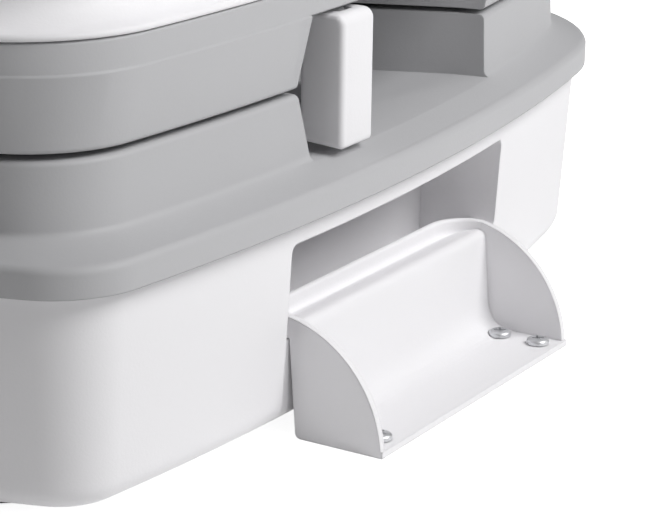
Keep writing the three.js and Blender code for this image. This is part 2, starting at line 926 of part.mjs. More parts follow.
// The bowl's funnel, grown outwards by its wall
function funnel(grow, z0, z1) {
  const low = outletZ + outletLength;
  const rings = [lift(egg(outletRadius + grow, outletRadius + grow, outletRadius + grow, 0), z0)];
  for (let i = 0; i <= funnelSteps; i += 1) {
    const share = i / funnelSteps;
    const bulge = mix(share, 1 - (1 - share) ** 2, bowlBulgeShare);
    const z = i === funnelSteps ? z1 : mix(low, topZ, share);
    rings.push(lift(egg(
      mix(outletRadius, bowlHalfWidth, bulge) + grow,
      mix(outletRadius, bowlFront, bulge) + grow,
      mix(outletRadius, bowlRear, bulge) + grow,
      mix(0, bowlCentreY, bulge),
    ), z));
  }
  return loft(rings);
}

function bowl() {
  const rimTop = topZ + fit + bowlRimHeight;
  const rim = prismZ(egg(
    bowlHalfWidth + wall + bowlRimWidth,
    bowlFront + wall + bowlRimWidth,
    bowlRear + wall + bowlRimWidth,
    bowlCentreY,
  ), topZ + fit, rimTop);
  const nozzleHole = prismY(circle(0, nozzleZ, nozzleRadius + fit, smallSteps), 0, hingeY);
  return funnel(outletWall, outletZ, rimTop)
    .add(rim)
    .subtract(funnel(0, outletZ - overrun, rimTop + overrun))
    .subtract(nozzleHole);
}

const outletSeal = () => ring(
  0,
  0,
  outletRadius + outletWall + fit + outletSealWidth,
  outletRadius + outletWall + fit,
  lowerTopZ,
  lowerTopZ + outletSealHeight,
  eggSteps,
);

// An egg whose sides are fuller than an ellipse's, for seat and lid
function fullEgg(halfWidth, front, rear, centreY) {
  const full = (unit) => Math.sign(unit) * Math.abs(unit) ** (2 / seatSquareness);
  return arc(plan(0, 0), 1, -Math.PI / 2, 1.5 * Math.PI, eggSteps)
    .map((unit) => plan(
      halfWidth * full(unit.x),
      centreY + (unit.y < 0 ? front : rear) * full(unit.y),
    ));
}

const seatEgg = (inset) => fullEgg(seatHalfWidth - inset, seatFront - inset, seatRear - inset, bowlCentreY);

const seatHoleEgg = (inset) => egg(
  bowlHalfWidth - seatHoleInset - inset,
  bowlFront - seatHoleInset - inset,
  bowlRear - seatHoleInset - inset,
  bowlCentreY,
);

// An arm that runs back from seat or lid to the hinge pin
function hingeArm(x0, z0, z1) {
  const foot = block(x0, hingeY - 2 * knuckleRadius - earWidth, z0, x0 + earWidth, tongueY, z1);
  const round = prismX(circle(hingeY, hingeZ, knuckleRadius, roundSteps / 2), x0, x0 + earWidth);
  const web = prismX([
    plan(tongueY - earWidth, z0),
    plan(tongueY, z0),
    plan(hingeY, hingeZ - knuckleRadius),
    plan(hingeY, hingeZ),
    plan(tongueY - earWidth, z1),
  ], x0, x0 + earWidth);
  return foot.add(round).add(web);
}

function seat() {
  const top = seatZ + seatHeight;
  const outer = loft([
    ...roundedEdge(seatZ, 0, seatEdgeRadius / 2, false),
    ...roundedEdge(top, 0, seatEdgeRadius, true),
  ].map(([z, inset]) => lift(seatEgg(inset), z)));
  const hole = loft([
    [seatZ - overrun, 0],
    [top - seatEdgeRadius, 0],
    [top - seatEdgeRadius * seatHoleRoundShare, -seatEdgeRadius * seatHoleRoundShare],
    [top, -seatEdgeRadius],
    [top + overrun, -seatEdgeRadius - overrun],
  ].map(([z, inset]) => lift(seatHoleEgg(inset), z)));
  const tongue = block(
    -seatEarX - earWidth,
    bowlCentreY + bowlRear - seatHoleInset + seatEdgeRadius + overrun,
    seatZ + fit,
    seatEarX + earWidth,
    tongueY,
    top - fit,
  );
  return outer.add(tongue).subtract(hole).add(bothSides(hingeArm(seatEarX, seatZ + fit, top - fit)))
    .subtract(hingeBore());
}

const lidEgg = (inset) => fullEgg(
  seatHalfWidth + lidOverhang - inset,
  seatFront + lidOverhang - inset,
  seatRear + lidOverhang - inset,
  bowlCentreY,
);

// Levels of the lid's crown, as (z, inset), for its skin or its hollow
function lidLevels(draw) {
  const shoulder = lidZ + lidSideHeight;
  const rise = overallHeight - shoulder;
  const levels = [[lidZ - (draw > 0 ? overrun : 0), draw], [shoulder - draw, draw]];
  for (let i = 1; i <= lidCrownSteps; i += 1) {
    const angle = (i / lidCrownSteps) * Math.PI / 2;
    levels.push([
      shoulder - draw + rise * Math.sin(angle),
      draw + lidCrownInset * (1 - Math.cos(angle)),
    ]);
  }
  return levels;
}

function lid() {
  const skin = loft(lidLevels(0).map(([z, inset]) => lift(lidEgg(inset), z)));
  const hollow = loft(lidLevels(lidWall).map(([z, inset]) => lift(lidEgg(inset), z)));
  const top = lidZ + lidSideHeight;
  const tongue = block(
    -lidEarX - earWidth,
    bowlCentreY + seatRear - wall,
    lidZ,
    lidEarX + earWidth,
    tongueY,
    top,
  );
  const tongueHollow = block(
    -lidEarX,
    bowlCentreY + seatRear - 2 * wall,
    lidZ - overrun,
    lidEarX,
    tongueY - lidWall,
    top - lidWall,
  );
  return skin
    .add(tongue)
    .subtract(hollow)
    .subtract(tongueHollow)
    .add(bothSides(hingeArm(lidEarX, lidZ, top)).subtract(hollow))
    .subtract(hingeBore());
}

const hingePin = () => prismX(
  circle(hingeY, hingeZ, hingePinRadius, smallSteps),
  -postX - postWidth,
  postX + postWidth,
);

const pinCap = () => prismX(
  circle(hingeY, hingeZ, pinCapRadius, smallSteps),
  postX + postWidth + fit,
  postX + postWidth + fit + pinCapLength,
);

// Rubber buffers stand under the seat and under the lid, at an angle round the egg
function buffer(angle, z0, z1) {
  const halfWidth = seatHalfWidth - bufferInset;
  const reach = (Math.sin(angle) < 0 ? seatFront : seatRear) - bufferInset;
  return disc(
    halfWidth * Math.cos(angle),
    bowlCentreY + reach * Math.sin(angle),
    bufferRadius,
    z0,
    z1,
    smallSteps,
  );
}

function fillerNeck() {
  const low = topZ - fillerNeckDrop;
  const flange = topZ + fit;
  return turned([
    [fillerBoreRadius, low],
    [fillerNeckRadius, low],
    [fillerNeckRadius, flange],
    [fillerFlangeRadius, flange],
    [fillerFlangeRadius, flange + fillerFlangeHeight],
    [fillerNeckRadius, flange + fillerFlangeHeight],
    [fillerNeckRadius, flange + fillerNeckHeight],
    [fillerBoreRadius, flange + fillerNeckHeight],
    [fillerBoreRadius, low],
  ], -fittingX, fittingY);
}

// A cup with upright grip ribs round its skirt, mouth down
function ribbedCap(inner, thick, height, ribs, depth, width) {
  const outer = inner + thick;
  const cup = turned([
    [0, height - thick],
    [inner, height - thick],
    [inner, 0],
    [outer, 0],
    [outer, height - thick / 2],
    [outer - thick / 2, height],
    [0, height],
  ], 0, 0);
  const rib = block(outer - thick / 2, -width / 2, 0, outer + depth, width / 2, height - thick);
  let cap = cup;
  for (let i = 0; i < ribs; i += 1) {
    cap = cap.add(rib.rotate([0, 0, (360 * i) / ribs]));
  }
  return cap;
}

function fillerCap() {
  const seatHeightZ = topZ + fit + fillerFlangeHeight + fit;
  return ribbedCap(fillerNeckRadius + capGap, capWall, capHeight, capRibCount, capRibDepth, capRibWidth)
    .translate([-fittingX, fittingY, seatHeightZ]);
}

function pumpHousing() {
  const low = topZ - pumpWellDepth;
  const flange = topZ + fit;
  const outer = pumpWellRadius + pumpWall;
  return turned([
    [0, low],
    [outer, low],
    [outer, flange],
    [pumpFlangeRadius, flange],
    [pumpFlangeRadius, flange + pumpFlangeHeight],
    [pumpWellRadius, flange + pumpFlangeHeight],
    [pumpWellRadius, low + pumpWall],
    [0, low + pumpWall],
  ], fittingX, fittingY)
    .subtract(disc(fittingX, fittingY, pipeBore, low - overrun, low + pumpWall + overrun, smallSteps));
}

function pumpButton() {
  const top = topZ + buttonRise;
  const low = top - buttonHeight;
  return turned([
    [0, low],
    [buttonRadius, low],
    [buttonRadius, top - buttonRise / 2],
    [buttonRadius - pumpWall / 2, top - pumpWall / 2],
    [buttonRadius - pumpWall, top],
    [buttonRadius / 2, top - pumpWall / 2],
    [0, top - pumpWall],
  ], fittingX, fittingY);
}

// A folded rubber sleeve, closed at the top and open at the bottom
function pumpBellows() {
  const low = topZ - pumpWellDepth + pumpWall + fit;
  const high = topZ + buttonRise - buttonHeight - fit;
  const pitch = (high - low) / bellowsFolds;
  const outside = [];
  for (let i = 0; i < bellowsFolds; i += 1) {
    outside.push([bellowsNeckRadius, low + pitch * i]);
    outside.push([bellowsRadius, low + pitch * (i + foldCrestShare)]);
  }
  outside.push([bellowsNeckRadius, high]);
  const inside = outside.slice(0, -1).reverse().map(([radius, z]) => [radius - bellowsWall, z]);
  return turned([
    ...outside,
    [0, high],
    [0, high - bellowsWall],
    [bellowsNeckRadius - bellowsWall, high - bellowsWall],
    ...inside,
    outside[0],
  ], fittingX, fittingY, pipeSteps);
}

// The water pipe from the pump round to the nozzle
function flushPipe() {
  const low = topZ - pumpWellDepth - fit;
  const nozzleEnd = nozzleSeatY() + nozzleLength + fit;
  const route = new THREE.CatmullRomCurve3([
    axis(fittingX, fittingY, low),
    axis(fittingX, fittingY, low - pipeRise),
    axis(fittingX / 2, fittingY, low - pipeRise),
    axis(0, fittingY, mix(low, nozzleZ, pipeClimbShare)),
    axis(0, nozzleEnd + pipeRise, nozzleZ),
    axis(0, nozzleEnd, nozzleZ),
  ]);
  const section = new THREE.Shape(circle(0, 0, pipeRadius, smallSteps));
  section.holes.push(new THREE.Path(circle(0, 0, pipeBore, smallSteps)));
  return solidOf(new THREE.ExtrudeGeometry(
    section,
    { steps: pipeSteps, extrudePath: route, bevelEnabled: false },
  ));
}

// Where the bowl's rear wall stands at the nozzle's height, on its inside
function nozzleSeatY() {
  const share = (nozzleZ - outletZ - outletLength) / (topZ - outletZ - outletLength);
  const bulge = mix(share, 1 - (1 - share) ** 2, bowlBulgeShare);
  return mix(0, bowlCentreY, bulge) + mix(outletRadius, bowlRear, bulge);
}

function rimNozzle() {
  const inner = nozzleSeatY() - nozzleReach;
  const outer = inner + nozzleReach + nozzleLength;
  const body = prismY(circle(0, nozzleZ, nozzleRadius, smallSteps), inner, outer);
  const bore = prismY(circle(0, nozzleZ, pipeBore, smallSteps), inner + nozzleReach / 2, hingeY);
  const slot = block(
    -nozzleRadius - overrun,
    inner - overrun,
    nozzleZ - pipeBore / 2,
    nozzleRadius + overrun,
    inner + nozzleReach - fit,
    nozzleZ + pipeBore / 2,
  );
  return body.subtract(bore).subtract(slot);
}

// The slide valve's blade: a straight plate with a round rear end
const bladePlan = (grow, frontY) => [
  ...arc(plan(0, 0), bladeHalfWidth + grow, 0, Math.PI, roundSteps / 2),
  plan(-bladeHalfWidth - grow, 0),
  plan(-bladeHalfWidth - grow, frontY),
  plan(bladeHalfWidth + grow, frontY),
];

function valveHousing() {
  const top = lowerTopZ - fit;
  const seatZ0 = bladeBottomZ - bladeGap;
  const grooveRadius = valveRadius + valveSealWidth + fit;
  return valvePocket(valveBottomZ, top, 0)
    .subtract(prismZ(bladePlan(bladeGap, valveFrontY - overrun), seatZ0, bladeTopZ + bladeGap))
    .subtract(disc(0, 0, valveRadius, valveBottomZ - overrun, top + overrun))
    .subtract(disc(0, 0, grooveRadius, seatZ0 - valveSealHeight - fit, seatZ0 + bladeGap));
}

const valveSeal = () => {
  const top = bladeBottomZ - bladeGap - fit / 2;
  return ring(0, 0, valveRadius + valveSealWidth, valveRadius, top - valveSealHeight + fit / 2, top);
};

const valveBlade = () => prismZ(bladePlan(0, valveFrontY + fit), bladeBottomZ, bladeTopZ)
  .add(block(
    -tongueHalfWidth,
    valveFrontY - handleGap - tongueLength,
    bladeBottomZ,
    tongueHalfWidth,
    valveFrontY + overrun,
    bladeTopZ,
  ));

function valveHandle() {
  const rearY = valveFrontY - handleGap;
  const middleZ = (bladeBottomZ + bladeTopZ) / 2;
  const low = middleZ - handleHeight / 2;
  const high = middleZ + handleHeight / 2 - fit;
  const body = prismZ(roundedRectangle(
    -handleHalfWidth,
    handleFrontY,
    handleHalfWidth,
    rearY,
    handleRadius,
  ), low, high);
  const fingers = prismZ(roundedRectangle(
    -handleHalfWidth + handleEnd,
    handleFrontY + handleBar,
    handleHalfWidth - handleEnd,
    rearY - handleBase,
    handleRadius - handleBar * handleCornerShare,
  ), low - overrun, high + overrun);
  const slit = block(
    -tongueHalfWidth - fit,
    rearY - tongueLength - fit,
    bladeBottomZ - fit,
    tongueHalfWidth + fit,
    rearY + overrun,
    bladeTopZ + fit,
  );
  return body.subtract(fingers).subtract(slit);
}

// Rings of the spout's elbow: up out of the deck, round the bend and along +X
function elbowRings(radius, lowZ, endX) {
  const bend = spoutRadius + spoutBend;
  const stations = [[0, spoutX, lowZ]];
  for (let i = 0; i <= spoutBendSteps; i += 1) {
    const angle = (i / spoutBendSteps) * Math.PI / 2;
    stations.push([
      angle,
      spoutX + bend * (1 - Math.cos(angle)),
      spoutZ - bend + bend * Math.sin(angle),
    ]);
  }
  stations.push([Math.PI / 2, endX, spoutZ]);
  return stations.map(([angle, x, z]) => circle(0, 0, radius, pipeSteps).map((unit) => axis(
    x - unit.y * Math.cos(angle),
    spoutY + unit.x,
    z + unit.y * Math.sin(angle),
  )));
}

function pourSpout() {
  const low = deckZ - spoutDrop;
  const end = spoutX + spoutReach;
  const ringTop = deckZ - wall - fit;
  const snapRing = disc(spoutX, spoutY, spoutRadius + spoutRingWidth, ringTop - spoutRingHeight, ringTop);
  return loft(elbowRings(spoutRadius, low, end))
    .add(snapRing)
    .subtract(loft(elbowRings(spoutRadius - spoutWall, low - overrun, end + overrun)));
}

// Caps are modelled mouth down about Z, and the spout's is then turned to lie along +X
function spoutCap() {
  const mouthX = spoutX + spoutReach - spoutCapLength + spoutCapWall + spoutSealHeight + 2 * fit;
  return ribbedCap(
    spoutRadius + fit,
    spoutCapWall,
    spoutCapLength,
    spoutCapRibCount,
    spoutCapRibDepth,
    spoutCapRibWidth,
  )
    .rotate([0, 90, 0])
    .translate([mouthX, spoutY, spoutZ]);
}

const spoutSeal = () => prismX(
  circle(spoutY, spoutZ, spoutRadius - fit, roundSteps),
  spoutX + spoutReach + fit,
  spoutX + spoutReach + fit + spoutSealHeight,
);

const ventHousing = () => {
  const low = deckZ + fit;
  return turned([
    [ventStemRadius + fit, low],
    [ventHousingRadius, low],
    [ventHousingRadius, low + ventHousingHeight],
    [ventCapRadius + ventCapGap, low + ventHousingHeight],
    [ventCapRadius + ventCapGap, low + ventFloor],
    [ventStemRadius + fit, low + ventFloor],
    [ventStemRadius + fit, low],
  ], ventX, spoutY);
};

function ventButton() {
  const capZ = deckZ + 2 * fit + ventFloor + ventTravel;
  const stemZ = deckZ - wall - fit - ventSealHeight - ventTravel / 2;
  return turned([
    [0, stemZ],
    [ventStemRadius - fit, stemZ],
    [ventStemRadius - fit, capZ],
    [ventCapRadius, capZ],
    [ventCapRadius, capZ + ventCapHeight / 2],
    [ventCapRadius - fit, capZ + ventCapHeight],
    [0, capZ + ventCapHeight],
  ], ventX, spoutY);
}

const ventSeal = () => {
  const top = deckZ - wall - fit;
  return ring(ventX, spoutY, ventCapRadius, ventStemRadius, top - ventSealHeight, top);
};

const latchPin = () => prismY(
  circle(latchPivotX, latchPivotZ, latchPinRadius, smallSteps),
  latchFrontY + latchPinMargin,
  latchFrontY + latchWidth - latchPinMargin,
);

function sideLatch() {
  const rearY = latchFrontY + latchWidth;
  const middle = latchFrontY + latchWidth / 2;
  const profile = roundedRectangle(latchInnerX, latchBottomZ, latchOuterX, latchTopZ, latchEdgeRadius)
    .map((point) => plan(
      point.x,
      point.y < latchPivotZ
        ? point.y + latchSlope * (latchOuterX - point.x) / (latchOuterX - latchInnerX)
        : point.y,
    ));
  const paddle = prismY(profile, latchFrontY, rearY)
    .intersect(prismZ(roundedRectangle(
      latchInnerX,
      latchFrontY,
      latchOuterX,
      rearY,
      latchEdgeRadius,
    ), latchBottomZ - overrun, latchTopZ + overrun));
  const toe = prismY([
    plan(latchInnerX - latchToeReach, latchToeZ + latchToeHeight / 2),
    plan(latchInnerX - latchToeReach + latchToeHeight / 2, latchToeZ),
    plan(latchInnerX + overrun, latchToeZ),
    plan(latchInnerX + overrun, latchToeZ + latchToeHeight),
    plan(latchInnerX - latchToeReach, latchToeZ + latchToeHeight),
  ], middle - latchToeWidth / 2, middle + latchToeWidth / 2);
  const slot = block(
    latchInnerX - overrun,
    middle - latchEarWidth / 2 - latchSlotGap,
    latchPivotZ - latchEarRadius - latchSlotGap,
    latchPivotX + latchEarRadius + latchSlotGap,
    middle + latchEarWidth / 2 + latchSlotGap,
    latchTopZ + overrun,
  );
  const bore = prismY(
    circle(latchPivotX, latchPivotZ, latchPinRadius + fit, smallSteps),
    latchFrontY + latchPinMargin - fit,
    rearY + overrun,
  );
  return paddle.add(toe).subtract(slot).subtract(bore);
}

// Side profile of the bracket: floor plate, leaning wall, web, and the lip's foot
function bracketProfile() {
  const footX = bracketFaceFootX;
  const topX = bracketFaceTopX;
  const lean = bracketLean / (bracketFaceTopZ - bracketPlate);
  const webTop = bracketFaceTopZ + bracketCrownRadius;
  const webLow = webTop - lipThickness;
  const lipX = lipOuterX + lipThickness;
  const filletTopZ = bracketFaceTopZ + lipFillet;
  const shape = new THREE.Shape();
  shape.moveTo(bracketHeelX + heelRadius, 0);
  shape.lineTo(bracketOuterX, 0);
  shape.lineTo(bracketOuterX, bracketPlate);
  shape.lineTo(footX + bracketFootFillet, bracketPlate);
  shape.quadraticCurveTo(
    footX,
    bracketPlate,
    footX - lean * bracketFootFillet,
    bracketPlate + bracketFootFillet,
  );
  shape.lineTo(topX, bracketFaceTopZ);
  shape.quadraticCurveTo(topX, webTop, topX - bracketCrownRadius, webTop);
  shape.lineTo(lipX + lipFillet, webTop - fit);
  shape.quadraticCurveTo(lipX, webTop - fit, lipX, filletTopZ);
  shape.lineTo(lipOuterX, filletTopZ);
  shape.lineTo(lipOuterX, webLow);
  shape.lineTo(topX - bracketWall, webLow);
  shape.lineTo(bracketHeelX, heelRadius);
  shape.quadraticCurveTo(bracketHeelX, 0, bracketHeelX + heelRadius, 0);
  return shape.getPoints(edgeSteps);
}

// Plan of the lip, which turns round a corner at each end and runs out into the gussets
const lipPlan = (inset) => roundedRectangle(
  lipOuterX + inset,
  bracketFrontY + inset,
  bracketOuterX + lipPlanRadius,
  bracketFrontY + bracketLength - inset,
  lipPlanRadius - inset,
  lipSteps,
);

function bracketLip() {
  const low = bracketFaceTopZ + bracketCrownRadius - lipThickness;
  const centre = plan(gussetCentreX, gussetCentreZ);
  const apex = arc(centre, gussetRadius, lipEndAngle, Math.PI / 2, edgeSteps * 2);
  const side = prismY([
    plan(lipOuterX - overrun, low),
    plan(apex[0].x, low),
    ...apex,
    plan(lipOuterX - overrun, gussetCentreZ + gussetRadius),
  ], bracketFrontY, bracketFrontY + bracketLength);
  return prismZ(lipPlan(0), low, overallHeight)
    .subtract(prismZ(lipPlan(lipThickness), low - overrun, overallHeight + overrun))
    .intersect(side);
}

function bracketGusset(y0) {
  const from = Math.asin((bracketPlate / 2 - gussetCentreZ) / gussetRadius);
  const to = Math.acos((gussetTopX - gussetCentreX) / gussetRadius);
  const topZ0 = gussetCentreZ + gussetRadius * Math.sin(to);
  const edge = arc(plan(gussetCentreX, gussetCentreZ), gussetRadius, from, to, gussetSteps);
  return prismY([
    plan(bracketHeelX, heelRadius),
    plan(bracketHeelX + heelRadius, 0),
    plan(gussetCentreX + gussetRadius * Math.cos(from), 0),
    ...edge,
    plan(gussetTopX, topZ0),
    plan(gussetTopX - bracketWall / 2, topZ0 - bracketWall / 2),
    plan(bracketFaceTopX - bracketWall, bracketFaceTopZ),
  ], y0, y0 + bracketWall);
}

const screwPlaces = [screwOuterX, screwInnerX].flatMap((x) => [
  [x, bracketFrontY + screwEndMargin],
  [x, bracketFrontY + bracketLength - screwEndMargin],
]);

function holdDownBracket() {
  const rearY = bracketFrontY + bracketLength;
  const low = bracketFaceTopZ + bracketCrownRadius - lipThickness;
  const corners = block(
    lipOuterX - overrun,
    bracketFrontY,
    low - overrun,
    lipOuterX + lipPlanRadius,
    rearY,
    overallHeight,
  ).subtract(prismZ(lipPlan(0), -overrun, overallHeight + overrun));
  const body = prismY(bracketProfile(), bracketFrontY, rearY)
    .subtract(corners)
    .add(bracketLip())
    .add(bracketGusset(bracketFrontY))
    .add(bracketGusset(rearY - bracketWall));
  return screwPlaces.reduce(
    (sum, [x, y]) => sum
      .subtract(disc(x, y, screwHoleRadius, -overrun, bracketPlate + overrun, smallSteps))
      .subtract(disc(x, y, screwHeadRadius + fit, bracketPlate, bracketFootFillet, pipeSteps)),
    body,
  );
}

// A pan head on a short shank that stays within the floor plate
function bracketScrew(x, y) {
  const seatOn = bracketPlate + fit;
  return turned([
    [0, fit],
    [screwShankRadius, fit],
    [screwShankRadius, seatOn],
    [screwHeadRadius, seatOn],
    [screwHeadRadius, seatOn + screwHeadHeight / 2],
    [screwHeadRadius - screwHeadHeight * screwCrownInsetShare, seatOn + screwHeadHeight * screwCrownShare],
    [screwHeadRadius / 2, seatOn + screwHeadHeight],
    [0, seatOn + screwHeadHeight],
  ], x, y, smallSteps);
}

function rubberFoot(x, y) {
  const top = tankBottomZ - fit;
  return turned([
    [0, 0],
    [footRadius - fit, 0],
    [footRadius, fit],
    [footRadius, top],
    [0, top],
  ], x, y);
}

function finish(colour, roughness, metalness) {
  return new THREE.MeshStandardMaterial({ color: colour, roughness, metalness });
}

const white = () => finish(0xececee, 0.42, 0);
const grey = () => finish(0xb9babc, 0.5, 0);
const darkGrey = () => finish(0x5c5f63, 0.5, 0);
const rubber = () => finish(0x26272a, 0.85, 0);
const steel = () => finish(0xc9cbcd, 0.3, 1);
const clear = () => finish(0xdfe6ea, 0.15, 0);

const toilet = new THREE.Group();

function add(name, solid, material) {
  const mesh = new THREE.Mesh(geometryOf(solid), material);
  mesh.name = name;
  toilet.add(mesh);
}

add('waste_tank_lower_shell', wasteTankLowerShell(), white());
add('waste_tank_upper_shell', wasteTankUpperShell(), grey());
add('flush_tank_lower_shell', flushTankLowerShell(), grey());
add('flush_tank_upper_shell', flushTankUpperShell(), white());
add('level_window', levelWindow(), clear());
add('bowl', bowl(), white());
add('outlet_seal', outletSeal(), rubber());
add('rim_nozzle', rimNozzle(), white());
add('seat', seat(), white());
add('lid', lid(), white());
add('hinge_pin', hingePin(), darkGrey());
add('hinge_cap_right', pinCap(), white());
add('hinge_cap_left', mirroredX(pinCap()), white());
add('filler_neck', fillerNeck(), grey());
add('filler_cap', fillerCap(), grey());
add('pump_housing', pumpHousing(), grey());
add('pump_button', pumpButton(), grey());
add('pump_bellows', pumpBellows(), rubber());
add('flush_pipe', flushPipe(), white());
add('valve_housing', valveHousing(), darkGrey());
add('valve_seal', valveSeal(), rubber());
add('valve_blade', valveBlade(), white());
add('valve_handle', valveHandle(), grey());
add('pour_spout', pourSpout(), grey());
add('spout_cap', spoutCap(), darkGrey());
add('spout_seal', spoutSeal(), rubber());
add('vent_housing', ventHousing(), grey());
add('vent_button', ventButton(), darkGrey());
add('vent_seal', ventSeal(), rubber());

bufferTurnShares.forEach((share, i) => {
  add(`seat_buffer_${i + 1}`, buffer(share * Math.PI, topZ + fit, seatZ - fit), rubber());
});

[['right', (solid) => solid], ['left', mirroredX]].forEach(([side, turn]) => {
  add(`latch_${side}`, turn(sideLatch()), white());
  add(`latch_pin_${side}`, turn(latchPin()), steel());
  add(`bracket_${side}`, turn(holdDownBracket()), white());
  screwPlaces.forEach(([x, y], i) => {
    add(`screw_${side}_${i + 1}`, turn(bracketScrew(x, y)), steel());
  });
});

const footX = halfWidth - footInset;
const footY = halfDepth - footInset;
[[footX, -footY], [footX, footY], [-footX, footY], [-footX, -footY]].forEach(([x, y], i) => {
  add(`foot_${i + 1}`, rubberFoot(x, y), rubber());
});

export default toilet;
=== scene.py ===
"""The looks of a low two-piece portable toilet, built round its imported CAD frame."""

import math

import bmesh
import bpy
from mathutils import Matrix, Vector


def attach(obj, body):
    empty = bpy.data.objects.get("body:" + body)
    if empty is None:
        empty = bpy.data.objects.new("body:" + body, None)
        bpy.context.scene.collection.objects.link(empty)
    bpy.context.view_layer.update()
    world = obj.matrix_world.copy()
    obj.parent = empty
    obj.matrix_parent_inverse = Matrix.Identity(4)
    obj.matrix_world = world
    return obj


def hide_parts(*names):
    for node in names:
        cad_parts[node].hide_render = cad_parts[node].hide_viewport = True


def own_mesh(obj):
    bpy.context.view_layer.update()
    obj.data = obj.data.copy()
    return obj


bl_info = {
    "name": "Portable Toilet",
    "version": (1, 0, 0),
    "blender": (4, 5, 0),
    "location": "View3D > Sidebar > Toilet",
    "description": "Builds the shells, fittings, materials and studio of a portable toilet",
    "category": "Object",
}

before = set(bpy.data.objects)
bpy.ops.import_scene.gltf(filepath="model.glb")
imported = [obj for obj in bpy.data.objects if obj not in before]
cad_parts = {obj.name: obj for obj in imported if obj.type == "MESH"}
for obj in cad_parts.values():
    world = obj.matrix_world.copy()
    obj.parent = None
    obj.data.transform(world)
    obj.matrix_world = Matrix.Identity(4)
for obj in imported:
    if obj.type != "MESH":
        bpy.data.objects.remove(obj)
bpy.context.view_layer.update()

MILLIMETRE = 0.001

# Plan of the flange, in millimetres: four long arcs joined by corner arcs
HALF_WIDTH = 167.0
HALF_DEPTH = 191.0
SIDE_ARC = 832.0
SIDE_CREST = -44.6
FRONT_ARC = 410.0
REAR_ARC = 1170.0
FRONT_CORNER = 27.4
REAR_CORNER = 73.9

# Heights of the stacked shells
TANK_BOTTOM = 4.6
FLANGE = 65.4
RIDGE = 73.9
DECK = 77.0
SEAM_LOW = 96.6
SEAM_HIGH = 98.2
STEP = 118.8
SKIRT = 127.0
TOP = 275.6
RECESS_ROOF = 119.0
FIT = 0.3
OVERRUN = 2.0

# Insets of the outline at those heights
SEAM_INSET = 13.3
SEAM_CORNER = 32.2
SHELL_CORNER = 44.0
DECK_INSET = 10.4
STEP_INSET = 9.9
WAIST_INSET = 21.5

# Finger pocket in the side of the white tank
POCKET_FRONT = -71.8
POCKET_REAR = 61.4
POCKET_TOP = 58.6
POCKET_LEDGE = 29.2
LEDGE_INSIDE = 158.0
POCKET_BACK = 127.0

# Seat, lid and hinge; an egg is its half width and its reach to the front and to the rear
BOWL_CENTRE = -42.0
RIM_EGG = (122.0, 120.0, 136.0)
SEAT_EGG = (150.0, 140.0, 148.0)
OPENING_EGG = (104.0, 102.0, 118.0)
LID_EGG = (152.0, 142.0, 150.0)
SEAT_FULLNESS = 2.3
LID_WALL = 2.6
HINGE_Y = 166.0
HINGE_Z = 298.0
HINGE_RADIUS = 8.0
HINGE_BORE = 4.3
SEAT_BOTTOM = 280.0
SEAT_TOP = 291.5
LID_BOTTOM = 291.8
LID_TOP = 314.0

# Fittings on the console and in the rear recess
FITTING_X = 86.0
FITTING_Y = 133.0
SPOUT = (-75.0, 150.0, 101.0)
VENT = (60.0, 150.0)
BELLOWS = (218.3, 260.3)

# Side latch and hold-down bracket
LATCH_FRONT = -43.7
LATCH_WIDTH = 17.0
LATCH_PIVOT = (153.0, 111.5)
LATCH_OUTSIDE = 160.5
LATCH_INSIDE = 146.0
LATCH_TOP = 117.3
LATCH_FOOT = 78.8
PIN_BORE = 1.8
BRACKET_FRONT = -66.7
BRACKET_LENGTH = 113.2
BRACKET_WALL = 2.3
LIP_OUTSIDE = 146.5
LIP_TOP = 36.3
WEB_LOW = 29.5
WEB_TOP = 33.3
GUTTER = 31.3
GUTTER_X = 150.4
GUSSET_ARC = (151.6, -0.7, 37.0)
PLATE_EDGE = 189.2
PLATE_TOP = 2.0
SCREW_PLACES = [(183.4, -58.1), (183.4, 37.9), (170.0, -58.1), (170.0, 37.9)]

# Studio, in metres and degrees: a lamp is its share of the key light, its size and its place
LAMPS = {"key": (1.0, 0.6, (0.93, 0.16, 0.88)), "top": (0.05, 1.4, (0.4, 0.1, 1.9))}
LAMP_AIM = Vector((0.05, -0.05, 0.08))
CAMERA_PLACE = Vector((0.520108, -0.635911, 0.268875))
CAMERA_TURN = (31.443, 17.91, -0.891)

# Edges that bend by more degrees than this are drawn sharp
SHARP_ANGLE = 32


def linear(hex_colour):
    """A linear RGBA colour from an sRGB hex value."""
    channels = [int(hex_colour[i:i + 2], 16) / 255 for i in (1, 3, 5)]
    curve = [c / 12.92 if c <= 0.04045 else ((c + 0.055) / 1.055) ** 2.4 for c in channels]
    return (*curve, 1.0)


class PlasticColours(bpy.types.PropertyGroup):
    """Colours of the moulded plastics."""

    white: bpy.props.FloatVectorProperty(
        name="White shells", description="Colour of the white shells, seat and lid",
        subtype="COLOR", size=4, min=0, max=1, default=linear("#F1F0F2"))
    grey: bpy.props.FloatVectorProperty(
        name="Grey shells", description="Colour of the grey shells and caps",
        subtype="COLOR", size=4, min=0, max=1, default=linear("#BABABC"))
    dark: bpy.props.FloatVectorProperty(
        name="Dark fittings", description="Colour of the spout cap and the valve housing",
        subtype="COLOR", size=4, min=0, max=1, default=linear("#5A5D61"))


class ShellSizes(bpy.types.PropertyGroup):
    """Small sizes of the shells that a user may want to change."""

    edge_radius: bpy.props.FloatProperty(
        name="Edge radius", description="Rounding drawn on the cut edges of the mouldings",
        default=0.0007, min=0.0, max=0.003, unit="LENGTH")
    grain: bpy.props.FloatProperty(
        name="Grain", description="Spacing of the fine moulding grain",
        default=0.0009, min=0.0002, max=0.005, unit="LENGTH")
    wall: bpy.props.FloatProperty(
        name="Wall", description="Thickness of the blow-moulded shells",
        default=0.003, min=0.001, max=0.006, unit="LENGTH")


